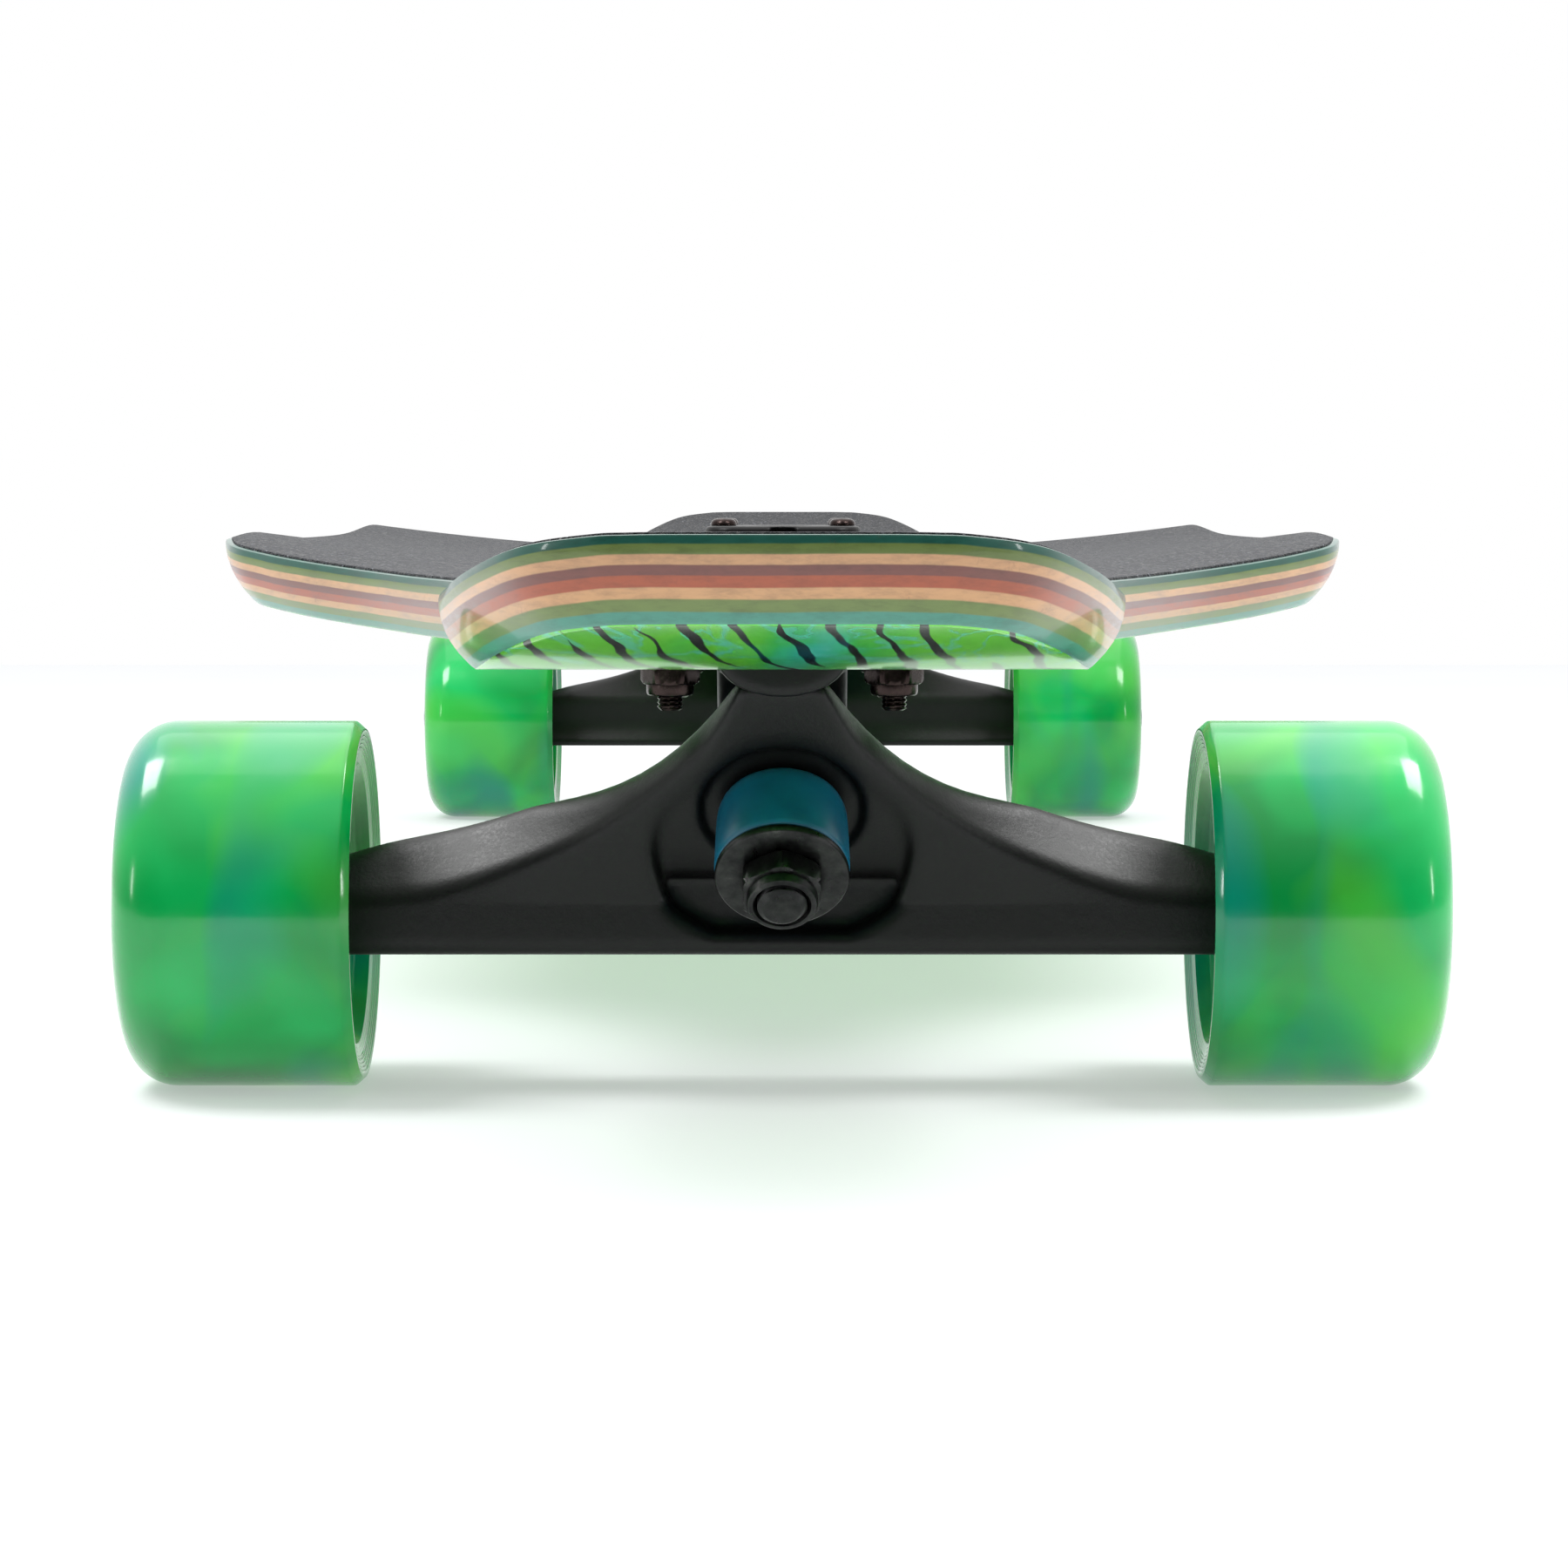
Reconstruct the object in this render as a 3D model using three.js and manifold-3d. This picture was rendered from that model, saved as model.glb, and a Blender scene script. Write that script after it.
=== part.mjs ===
// A drop-through longboard: a pressed wood deck with grip tape, and two reverse-kingpin trucks with four wheels.
// Millimetres, +Z up. The ground is z = 0, the front is -Y and left is -X.
// A truck is built in a frame of its own, whose origin is the axle's centre and whose -Y points away from the board's
// middle. The rear truck is the front one turned half a turn about Z.
import * as THREE from "three";
import { mergeVertices } from "three/addons/utils/BufferGeometryUtils.js";
import Module from "manifold-3d";

const wasm = await Module();
wasm.setup();

// ---------------------------------------------------------------- Driving dimensions

const gap = 0.3; // between pieces that touch
const boltSides = 8;
const turnedSides = 16;
const wheelSides = 32;

const wheelbase = 720;

// Deck
const noseOverhang = 170; // from an axle to the deck's end
const deckHalfWidth = 127.5;
const noseHalfWidth = 60;
const deckThickness = 12.8;
const gripThickness = 0.7;
const gripInset = 0.8;
const edgeInset = 6; // how far the underside's edge is rounded back
const edgeHeight = 7;
const noseRiseStart = 75; // outboard of the axle
const noseRiseRadius = 396;
const flatHalfWidth = 35; // the flat band along the middle of the concave
const concaveDepth = 6;
const flareDepth = 2.4; // the extra lift of the rails just behind the wheels
const flareMiddle = 153;
const flareReach = 60;
const mountHeight = 48; // from the axle's centre to the deck's underside

// The nose's rounded end: [back from the tip, share of noseHalfWidth].
const noseEnd = [[0, 0.3], [1.2, 0.48], [7, 0.65], [17, 0.76], [35, 0.865], [58, 0.938], [82, 0.982], [110, 1]];

// The sides from the nose to the shoulders: [outboard of the axle, share of the way from nose width to full width].
const shoulder = [[-15, 0.007], [-50, 0.09], [-100, 0.42], [-135, 0.8], [-150, 0.945], [-168, 1]];

// Deck hardware
const boltSpacingX = 41.3;
const boltSpacingY = 54;
const outerBoltY = -31;
const boltRadius = 2.4;
const boltHeadRadius = 4.4;
const boltHeadHeight = 2.6;
const boltEnd = 2.6; // how far a bolt stands out of its nut
const lockNutFlats = 9.5;
const lockNutHeight = 6.6;

// Hanger, with the axle along X
const hangerWidth = 180;
const barHalfHeight = 9.3;
const barHalfDepth = 9.5;
const wingX = 48.3;
const wingZ = 19.9;
const neckX = 9;
const neckZ = 42.5;
const neckTop = 43.2;
const neckFront = -34.6;
const axleRadius = 4;
const axleLength = hangerWidth + 74;

// The kingpin leans outboard and down from the baseplate, through the middle of the hanger's ring.
const ringCentre = new THREE.Vector3(0, -15.8, 19.9);
const kingpinLean = THREE.MathUtils.degToRad(40); // below the horizontal
const kingpinRadius = 4.76;
const kingpinHeadFlats = 14.3;
const kingpinHeadHeight = 6;
const kingpinNutFlats = 14.3;
const kingpinNutHeight = 7;
const kingpinEnd = 1; // beyond its nut
const bushingRadius = 12.5;
const washerThickness = 2;
const roadsideLength = 16.7;
const boardsideLength = 12.2;
const seatFront = 0.3; // the ring's two seats, along the kingpin from the ring's centre
const seatBack = -4;
const recessFloor = 1.7;
const pocketClearance = 2.6;
const ringHoleRadius = 0.68 * bushingRadius;
const bossThickness = 7.6;

// The pivot is the hanger's stub, in a cup at the inboard end of the baseplate.
const pivotTip = new THREE.Vector3(0, 18, 0);
const pivotRadius = 4.9;
const cupWall = 2.1;
const housingWall = 2.2;
const cupMouth = -4; // along the steering axis from the pivot's tip
const cupFloor = 2.4;
const cupBase = 4.6;
const housingEnd = 7.5;
const housingLow = -11.2;

// Baseplate
const bodyHalfWidth = 12.35;
const bodyFront = -36.3;
const bodyBack = 33;
const bodyCeiling = 45.5; // over the hanger's neck
const lipFront = -38.5;
const lipHalfWidth = 11.9;
const lipLow = 41.2;
const cutOutClearance = 1.5;
const cutOutSideClearance = 2.1;
const flangeHalfWidth = 27;
const flangeMargin = 4;
const flangeThickness = 6;
const flangeCorner = 9;
const pocketHalfWidth = 9.3;

// Wheels
const wheelRadius = 35;
const wheelWidth = 45;
const wheelInnerX = hangerWidth / 2 - 10; // the hanger's end stands in the wheel's hollow
const wheelOuterX = wheelInnerX + wheelWidth;
const coreRadius = 17;
const coreOverlap = 0.5; // how far the core stands out past a bearing
const coreWeb = 9.4;
const bearingRadius = 11;
const bearingWidth = 7;
const innerBearingX = hangerWidth / 2 + 1.5;
const outerBearingX = innerBearingX + 17;
const speedRing = 1.2;
const axleNutFlats = 13;
const axleNutHeight = 6.5;

// ---------------------------------------------------------------- What follows from them

const axleY = wheelbase / 2;
const tipY = axleY + noseOverhang;
const deckUnderside = wheelRadius + mountHeight;
const flangeBottom = mountHeight + deckThickness + gripThickness + 2 * gap; // above the axle
const flangeTop = flangeBottom + flangeThickness;
const boardsideSeat = seatBack - gap - boardsideLength;
const bossFace = boardsideSeat - 2 * gap - washerThickness;
const roadsideSeat = seatFront + gap + roadsideLength;
const kingpinNutFace = roadsideSeat + 2 * gap + washerThickness;
const bushingClearance = bushingRadius + 1.7;
const kingpinBore = kingpinRadius + gap;
const pivotDistance = pivotTip.distanceTo(ringCentre);
const cupRadius = pivotRadius + gap + cupWall;
const housingRadius = cupRadius + gap + housingWall;

const outwards = new THREE.Vector3(0, -Math.cos(kingpinLean), -Math.sin(kingpinLean));
const acrossKingpin = new THREE.Vector3(0, -Math.sin(kingpinLean), Math.cos(kingpinLean));
const steering = pivotTip.clone().sub(ringCentre).normalize();

// ---------------------------------------------------------------- Solids

function solidOf(geometry) {
  const bare = new THREE.BufferGeometry().setAttribute("position", geometry.getAttribute("position"));
  const merged = mergeVertices(bare.setIndex(geometry.index), 1e-4);
  return new wasm.Manifold(
    new wasm.Mesh({
      numProp: 3,
      vertProperties: merged.getAttribute("position").array,
      triVerts: new Uint32Array(merged.index.array),
    }),
  );
}

function geometryOf(solid) {
  const mesh = solid.getMesh();
  return new THREE.BufferGeometry()
    .setAttribute("position", new THREE.BufferAttribute(mesh.vertProperties, 3))
    .setIndex(new THREE.BufferAttribute(mesh.triVerts, 1));
}

function polygon(points) {
  return new THREE.Shape(points.map(([a, b]) => new THREE.Vector2(a, b)));
}

function roundedRectangle(left, low, right, high, radius) {
  const shape = new THREE.Shape();
  shape.absarc(right - radius, low + radius, radius, -Math.PI / 2, 0);
  shape.absarc(right - radius, high - radius, radius, 0, Math.PI / 2);
  shape.absarc(left + radius, high - radius, radius, Math.PI / 2, Math.PI);
  shape.absarc(left + radius, low + radius, radius, Math.PI, 1.5 * Math.PI);
  return shape;
}

function extruded(shape, length, curveSegments) {
  return new THREE.ExtrudeGeometry(shape, { depth: length, bevelEnabled: false, curveSegments });
}

// Prisms along one axis: an outline in (y, z) along X, in (x, z) along Y, or in (x, y) along Z.
const basisX = new THREE.Matrix4().set(0, 0, 1, 0, 1, 0, 0, 0, 0, 1, 0, 0, 0, 0, 0, 1);
const basisY = new THREE.Matrix4().set(1, 0, 0, 0, 0, 0, -1, 0, 0, 1, 0, 0, 0, 0, 0, 1);

function prismX(shape, halfWidth) {
  return solidOf(extruded(shape, 2 * halfWidth, 6).translate(0, 0, -halfWidth).applyMatrix4(basisX));
}

function prismY(shape, front, back, curveSegments = 6) {
  return solidOf(extruded(shape, back - front, curveSegments).translate(0, 0, -back).applyMatrix4(basisY));
}

function prismZ(shape, low, high) {
  return solidOf(extruded(shape, high - low, 3).translate(0, 0, low));
}

// The vertex radius of a polygon whose flats lie at this radius, for holes and for the tread.
function aroundFlats(radius, sides) {
  return radius / Math.cos(Math.PI / sides);
}

// Turns a profile of [radius, distance] about a line, from a point along a direction.
function turnedOn(origin, direction, profile, sides = turnedSides) {
  const points = profile.map(([radius, distance]) => new THREE.Vector2(Math.max(radius, 0), distance));
  const turn = new THREE.Quaternion().setFromUnitVectors(new THREE.Vector3(0, 1, 0), direction);
  const place = new THREE.Matrix4().compose(origin, turn, new THREE.Vector3(1, 1, 1));
  return solidOf(new THREE.LatheGeometry(points, sides).applyMatrix4(place));
}

function rod(origin, direction, radius, from, to, sides = turnedSides) {
  return turnedOn(origin, direction, [[0, from], [radius, from], [radius, to], [0, to]], sides);
}

function hole(origin, direction, radius, from, to, sides = turnedSides) {
  return rod(origin, direction, aroundFlats(radius, sides), from, to, sides);
}

// A flat-sided block about a line, with corners across the line: hex heads and nuts.
function hexOn(origin, direction, flats, from, to) {
  return rod(origin, direction, aroundFlats(flats / 2, 6), from, to, 6);
}

// A tube wall turned about a line, from a closed profile.
function ring(profile) {
  return [...profile, profile[0]];
}

const onKingpin = (profile) => turnedOn(ringCentre, outwards, profile);
const kingpinPoint = (along, across) => {
  const point = ringCentre.clone().addScaledVector(outwards, along).addScaledVector(acrossKingpin, across);
  return [point.y, point.z];
};

// ---------------------------------------------------------------- Deck

function noseRise(y) {
  const past = Math.max(Math.abs(y) - axleY - noseRiseStart, 0);
  return (past * past) / (2 * noseRiseRadius);
}

function concave(x, y) {
  const across = Math.max(Math.abs(x) - flatHalfWidth, 0) / (deckHalfWidth - flatHalfWidth);
  const inboard = THREE.MathUtils.smoothstep(axleY - Math.abs(y), 40, 170);
  const flare = Math.exp(-(((Math.abs(y) - flareMiddle) / flareReach) ** 2));
  return (concaveDepth * inboard + flareDepth * flare * inboard) * across ** 1.5;
}

// The height of a layer of the laminate: 0 is the underside.
function deckHeight(x, y, layer) {
  return deckUnderside + layer + noseRise(y) + concave(x, y);
}

// The deck's right side from its rear end to its front end, as points (x, y).
function sideOutline() {
  const end = noseEnd.map(([back, share]) => new THREE.Vector2(share * noseHalfWidth, tipY - back));
  const half = new THREE.Path();
  half.moveTo(end[0].x, end[0].y);
  half.splineThru(end.slice(1));
  half.lineTo(noseHalfWidth, axleY + noseRiseStart / 3);
  half.splineThru(
    shoulder.map(([outboard, share]) => {
      const x = THREE.MathUtils.lerp(noseHalfWidth, deckHalfWidth, share);
      return new THREE.Vector2(x, axleY + outboard);
    }),
  );
  const shoulderEnd = half.currentPoint.y;
  for (const share of [0.5, 1]) half.lineTo(deckHalfWidth, shoulderEnd * (1 - share));
  const rear = half.getPoints(2);
  const front = rear.slice(0, -1).map((p) => new THREE.Vector2(p.x, -p.y));
  return [...rear, ...front.reverse()];
}

// The same outline moved inwards along its normals.
function insetOutline(outline, distance) {
  return outline.map((point, i) => {
    const before = outline[Math.max(i - 1, 0)];
    const after = outline[Math.min(i + 1, outline.length - 1)];
    const along = after.clone().sub(before).normalize();
    if (i === 0 || i === outline.length - 1) along.set(1, 0).multiplyScalar(i === 0 ? 1 : -1);
    return new THREE.Vector2(point.x + along.y * distance, point.y - along.x * distance);
  });
}

// Rows of points across the deck, one for each point of its outline, on one layer of the laminate.
const acrossShares = [-1, -0.64, -0.27, 0.27, 0.64, 1];
function layerRows(outline, layer) {
  return outline.map(({ x, y }) =>
    acrossShares.map((share) => [share * x, y, deckHeight(share * x, y, layer)]),
  );
}

// A closed sheet from a top layer, any number of rims and a bottom layer, all with the same rows and columns.
function sheet(layers) {
  const corners = [];
  const quad = (a, b, c, d) => corners.push(...a, ...b, ...c, ...a, ...c, ...d);
  const [top, bottom] = [layers[0], layers[layers.length - 1]];
  const rows = top.length - 1;
  const columns = top[0].length - 1;
  for (let i = 0; i < rows; i++)
    for (let j = 0; j < columns; j++) {
      quad(top[i][j], top[i + 1][j], top[i + 1][j + 1], top[i][j + 1]);
      quad(bottom[i][j], bottom[i][j + 1], bottom[i + 1][j + 1], bottom[i + 1][j]);
    }
  const edge = [];
  for (let j = 0; j < columns; j++) edge.push([0, j]);
  for (let i = 0; i < rows; i++) edge.push([i, columns]);
  for (let j = columns; j > 0; j--) edge.push([rows, j]);
  for (let i = rows; i > 0; i--) edge.push([i, 0]);
  for (let k = 1; k < layers.length; k++)
    edge.forEach(([i, j], n) => {
      const [ii, jj] = edge[(n + 1) % edge.length];
      quad(layers[k - 1][i][j], layers[k - 1][ii][jj], layers[k][ii][jj], layers[k][i][j]);
    });
  const geometry = new THREE.BufferGeometry();
  geometry.setAttribute("position", new THREE.Float32BufferAttribute(corners, 3));
  geometry.setIndex([...Array(corners.length / 3).keys()]);
  return solidOf(geometry);
}

function boltPlaces() {
  const ys = [outerBoltY, outerBoltY + boltSpacingY];
  return ys.flatMap((y) => [-1, 1].map((side) => new THREE.Vector3((side * boltSpacingX) / 2, y, 0)));
}

const up = new THREE.Vector3(0, 0, 1);
const boltHole = (place) => hole(place, up, boltRadius + gap, -20, 140, boltSides);

// Both trucks' cut-outs and bolt holes, in the board's own frame.
function withMounts(solid) {
  const opening = roundedRectangle(
    -bodyHalfWidth - cutOutSideClearance,
    lipFront - cutOutClearance,
    bodyHalfWidth + cutOutSideClearance,
    bodyBack + cutOutClearance,
    4,
  );
  const tools = [prismZ(opening, -20, 140), ...boltPlaces().map(boltHole)];
  let cut = solid;
  for (const turn of [0, 180])
    for (const tool of tools)
      cut = cut.subtract(
        tool.translate([0, -axleY, wheelRadius]).rotate([0, 0, turn]),
      );
  return cut;
}

function deck() {
  const outline = sideOutline();
  const underside = insetOutline(outline, edgeInset);
  return withMounts(
    sheet([layerRows(outline, deckThickness), layerRows(outline, edgeHeight), layerRows(underside, 0)]),
  );
}

function gripTape() {
  const outline = insetOutline(sideOutline(), gripInset);
  const low = deckThickness + gap;
  return withMounts(sheet([layerRows(outline, low + gripThickness), layerRows(outline, low)]));
}

// ---------------------------------------------------------------- Deck hardware

function bolt(place) {
  const headLow = flangeTop + gap;
  const end = mountHeight - gap - lockNutHeight - boltEnd;
  return turnedOn(place, up, [
    [0, end],
    [boltRadius, end],
    [boltRadius, headLow],
    [boltHeadRadius, headLow],
    [boltHeadRadius, headLow + 0.6 * boltHeadHeight],
    [0.75 * boltHeadRadius, headLow + boltHeadHeight],
    [0, headLow + boltHeadHeight],
  ], boltSides);
}

function lockNut(place) {
  const high = mountHeight - gap;
  const hexHigh = high - 0.3 * lockNutHeight;
  return hexOn(place, up, lockNutFlats, high - 0.7 * lockNutHeight, high)
    .add(rod(place, up, 0.42 * lockNutFlats, high - lockNutHeight, hexHigh, boltSides))
    .subtract(boltHole(place));
}

// ---------------------------------------------------------------- Truck

function baseplate() {
  const top = flangeBottom + 1;
  const side = polygon([
    [bodyFront, top],
    [bodyFront, bodyCeiling],
    kingpinPoint(bossFace, (bodyCeiling - kingpinPoint(bossFace, 0)[1]) / Math.cos(kingpinLean)),
    kingpinPoint(bossFace, -13),
    [pivotTip.y - 8, pivotTip.z + 19.5],
    [pivotTip.y + 0.5, pivotTip.z + 11.5],
    [pivotTip.y + 9, pivotTip.z + 5],
    [bodyBack - 2, pivotTip.z + 12],
    [bodyBack, pivotTip.z + 28],
    [bodyBack, top],
  ]);
  const lip = new THREE.Shape();
  const lipTop = bodyCeiling + 2.5;
  lip.moveTo(lipHalfWidth, top);
  lip.lineTo(-lipHalfWidth, top);
  lip.absellipse(0, lipTop, lipHalfWidth, lipTop - lipLow, Math.PI, 2 * Math.PI);
  const flange = roundedRectangle(
    -flangeHalfWidth,
    lipFront - flangeMargin,
    flangeHalfWidth,
    bodyBack + flangeMargin,
    flangeCorner,
  );
  const bossBack = bossFace - bossThickness;
  const headPocket = polygon([
    [kingpinPoint(bossBack, pocketHalfWidth)[0], flangeTop + 5],
    kingpinPoint(bossBack, pocketHalfWidth),
    kingpinPoint(bossBack, -pocketHalfWidth),
    kingpinPoint(bossBack - kingpinHeadHeight - 11, -pocketHalfWidth),
    [kingpinPoint(bossBack - kingpinHeadHeight - 11, -pocketHalfWidth)[0], flangeTop + 5],
  ]);
  const lighteningPocket = roundedRectangle(-8.5, -30, 8.5, -7, 4);
  const below = new THREE.BoxGeometry(60, 90, 40).translate(0, 0, housingLow - 20);
  let solid = prismX(side, bodyHalfWidth)
    .add(prismY(lip, lipFront, bodyFront + 1))
    .add(prismZ(flange, flangeBottom, flangeTop))
    .add(rod(pivotTip, steering, housingRadius, cupMouth, housingEnd))
    .subtract(prismX(headPocket, pocketHalfWidth))
    .subtract(prismZ(lighteningPocket, bodyCeiling + 4, flangeTop + 5))
    .subtract(hole(ringCentre, outwards, bushingClearance, bossFace, 40))
    .subtract(hole(ringCentre, outwards, kingpinBore, -60, 60))
    .subtract(hole(pivotTip, steering, cupRadius + gap, cupMouth - 12, cupBase + gap))
    .subtract(solidOf(below));
  for (const place of boltPlaces()) solid = solid.subtract(boltHole(place));
  return solid;
}

function pivotCup() {
  const bore = aroundFlats(pivotRadius + gap, turnedSides);
  return turnedOn(pivotTip, steering, [
    [0, cupFloor],
    [bore, cupFloor],
    [bore, cupMouth],
    [cupRadius, cupMouth],
    [cupRadius, cupBase],
    [0, cupBase],
  ]);
}

function kingpin() {
  const head = bossFace - bossThickness - gap;
  const end = kingpinNutFace + kingpinNutHeight + kingpinEnd;
  return hexOn(ringCentre, outwards, kingpinHeadFlats, head - kingpinHeadHeight, head).add(
    onKingpin([[0, head - 1], [kingpinRadius, head - 1], [kingpinRadius, end - 0.8], [4, end], [0, end]]),
  );
}

function washer(from) {
  const bore = aroundFlats(kingpinBore, turnedSides);
  const to = from + washerThickness;
  return onKingpin(ring([[bore, from], [bushingRadius, from], [bushingRadius, to], [bore, to]]));
}

// A bushing with a rounded shoulder at the end that sits on the hanger's ring.
function bushing(atSeat, atWasher) {
  const bore = aroundFlats(kingpinBore, turnedSides);
  const towardsWasher = Math.sign(atWasher - atSeat);
  const profile = [
    [bore, atSeat],
    [bushingRadius - 2.4, atSeat],
    [bushingRadius - 0.6, atSeat + 2 * towardsWasher],
    [bushingRadius - 0.2, atSeat + 4 * towardsWasher],
    [bushingRadius, atWasher - towardsWasher],
    [bushingRadius - 0.8, atWasher],
    [bore, atWasher],
  ];
  return onKingpin(ring(towardsWasher > 0 ? profile : profile.reverse()));
}

function kingpinNut() {
  const from = kingpinNutFace;
  const collar = from + 0.7 * kingpinNutHeight;
  return hexOn(ringCentre, outwards, kingpinNutFlats, from, collar)
    .add(rod(ringCentre, outwards, 0.44 * kingpinNutFlats, collar - 1, from + kingpinNutHeight))
    .subtract(hole(ringCentre, outwards, kingpinBore, from - 5, from + 20));
}

// The recess in the hanger's front, as a pear-shaped outline in (x, z).
function recessOutline() {
  const top = ringCentre.z + 11.8;
  const reach = bushingRadius + pocketClearance;
  const half = [[13, -4.5], [20.5, 0], [23.3, 6.5], [24.1, 13.5], [21, 20], [reach - 3, 26], [6, top - 1]];
  const shape = new THREE.Shape();
  shape.moveTo(-13, -4.5);
  shape.lineTo(13, -4.5);
  const points = [...half.slice(1), [0, top], ...half.slice(1).map(([x, z]) => [-x, z]).reverse()];
  shape.splineThru([...points, [-13, -4.5]].map(([x, z]) => new THREE.Vector2(x, z)));
  return shape;
}

function hanger() {
  const halfWidth = hangerWidth / 2;
  const front = new THREE.Shape();
  front.moveTo(-halfWidth, -barHalfHeight);
  front.lineTo(halfWidth, -barHalfHeight);
  front.lineTo(halfWidth, barHalfHeight);
  front.lineTo(halfWidth - 7, barHalfHeight);
  front.lineTo(wingX, wingZ);
  front.quadraticCurveTo(25, wingZ, neckX, neckZ);
  front.lineTo(neckX - 0.8, neckTop);
  front.lineTo(0.8 - neckX, neckTop);
  front.lineTo(-neckX, neckZ);
  front.quadraticCurveTo(-25, wingZ, -wingX, wingZ);
  front.lineTo(7 - halfWidth, barHalfHeight);
  front.lineTo(-halfWidth, barHalfHeight);

  const onBackPlane = (z) => kingpinPoint(seatBack, (z - kingpinPoint(seatBack, 0)[1]) / Math.cos(kingpinLean));
  const side = polygon([
    [barHalfDepth, -barHalfHeight + 2],
    [barHalfDepth, 7],
    [-6, 21],
    onBackPlane(21),
    onBackPlane(neckTop),
    [neckFront, neckTop],
    [-barHalfDepth - 1, 1],
    [-barHalfDepth, -barHalfHeight + 3],
    [-barHalfDepth + 3, -barHalfHeight],
    [barHalfDepth - 2, -barHalfHeight],
  ]);

  // What is cut off the front of each wing, in (x, y).
  const wingFront = [
    [20, neckFront - 1.5],
    [50, -12],
    [62, -barHalfDepth],
    [halfWidth + 10, -barHalfDepth],
    [halfWidth + 10, -50],
    [20, -50],
  ];
  const leftWingFront = wingFront.map(([x, y]) => [-x, y]);

  const recess = prismY(recessOutline(), -60, -axleRadius - 2.5, 2)
    .intersect(rod(ringCentre, outwards, 60, recessFloor, 90));
  let solid = prismY(front, -50, 20, 8)
    .intersect(prismX(side, halfWidth))
    .subtract(prismZ(polygon(wingFront), -50, 50))
    .subtract(prismZ(polygon(leftWingFront), -50, 50))
    .subtract(recess)
    .subtract(hole(ringCentre, outwards, bushingRadius + pocketClearance, seatFront, 45))
    .subtract(hole(ringCentre, outwards, ringHoleRadius, seatBack - 5, seatFront + 5))
    .subtract(hole(ringCentre, outwards, bushingClearance, -60, seatBack))
    .subtract(hole(pivotTip, steering, housingRadius + 2, cupMouth - 1.2, 60));
  solid = solid.add(
    turnedOn(pivotTip, steering, [
      [0, -0.45 * pivotDistance],
      [pivotRadius + 0.6, -0.45 * pivotDistance],
      [pivotRadius, cupMouth - 2],
      [pivotRadius, 0],
      [pivotRadius - 1.2, 1.5],
      [0, cupFloor - 2 * gap],
    ]),
  );
  const alongAxle = new THREE.Vector3(1, 0, 0);
  return solid.subtract(
    hole(new THREE.Vector3(), alongAxle, axleRadius + gap, -halfWidth - 10, halfWidth + 10, 16),
  );
}

function axle() {
  return rod(new THREE.Vector3(), new THREE.Vector3(1, 0, 0), axleRadius, -axleLength / 2, axleLength / 2, 16);
}

// ---------------------------------------------------------------- Wheel, on the +X end of an axle

const onAxle = (profile, sides) => {
  const points = profile.map(([radius, x]) => new THREE.Vector2(radius, x));
  const turned = new THREE.LatheGeometry(points, sides).rotateY(Math.PI / sides).rotateZ(-Math.PI / 2);
  return solidOf(turned);
};

function tyre() {
  const radius = aroundFlats(wheelRadius, wheelSides);
  const bore = aroundFlats(coreRadius + gap, turnedSides);
  return onAxle(
    ring([
      [bore, innerBearingX],
      [19.5, innerBearingX - 1.5],
      [30, wheelInnerX + 1.2],
      [33, wheelInnerX],
      [radius, wheelInnerX + 1.8],
      [radius, wheelOuterX - 9],
      [radius - 2.6, wheelOuterX - 2.8],
      [26.5, wheelOuterX],
      [20.5, wheelOuterX - 2],
      [bore, outerBearingX + bearingWidth],
    ]),
    wheelSides,
  );
}

function core() {
  const seat = aroundFlats(bearingRadius + gap, turnedSides);
  const from = innerBearingX - coreOverlap;
  const to = outerBearingX + bearingWidth + coreOverlap;
  return onAxle(
    ring([
      [seat, from],
      [coreRadius, from],
      [coreRadius, to],
      [seat, to],
      [seat, outerBearingX - gap],
      [coreWeb, outerBearingX - gap],
      [coreWeb, innerBearingX + bearingWidth + gap],
      [seat, innerBearingX + bearingWidth + gap],
    ]),
    turnedSides,
  );
}

function bearing(from) {
  const bore = aroundFlats(axleRadius + gap, turnedSides);
  const to = from + bearingWidth;
  return onAxle(ring([[bore, from], [bearingRadius, from], [bearingRadius, to], [bore, to]]), turnedSides);
}

function axleNut() {
  const along = new THREE.Vector3(1, 0, 0);
  const centre = new THREE.Vector3();
  const from = outerBearingX + bearingWidth + speedRing;
  const collar = from + 0.7 * axleNutHeight;
  return hexOn(centre, along, axleNutFlats, from, collar)
    .add(rod(centre, along, 0.42 * axleNutFlats, collar - 1, from + axleNutHeight))
    .subtract(hole(centre, along, axleRadius + gap, from - 5, from + 20, 16));
}

// ---------------------------------------------------------------- Materials

function finish(color, roughness, metalness = 0) {
  return new THREE.MeshStandardMaterial({ color, roughness, metalness });
}

const finishes = {
  laminate: finish("#b9784c", 0.45),
  grip: finish("#2b2d31", 0.95),
  castBlack: finish("#1c1c1e", 0.5),
  blackOxide: finish("#26241f", 0.4, 0.8),
  darkChrome: finish("#4a3a38", 0.3, 0.9),
  steel: finish("#a7a9ac", 0.35, 0.9),
  urethane: finish("#00b955", 0.2),
  bushingBlue: finish("#1f6f93", 0.4),
  core: finish("#0a8f52", 0.35),
  cup: finish("#15161a", 0.6),
};

function piece(name, solid, material) {
  const mesh = new THREE.Mesh(geometryOf(solid), material);
  mesh.name = name;
  return mesh;
}

// ---------------------------------------------------------------- Assembly

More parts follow.
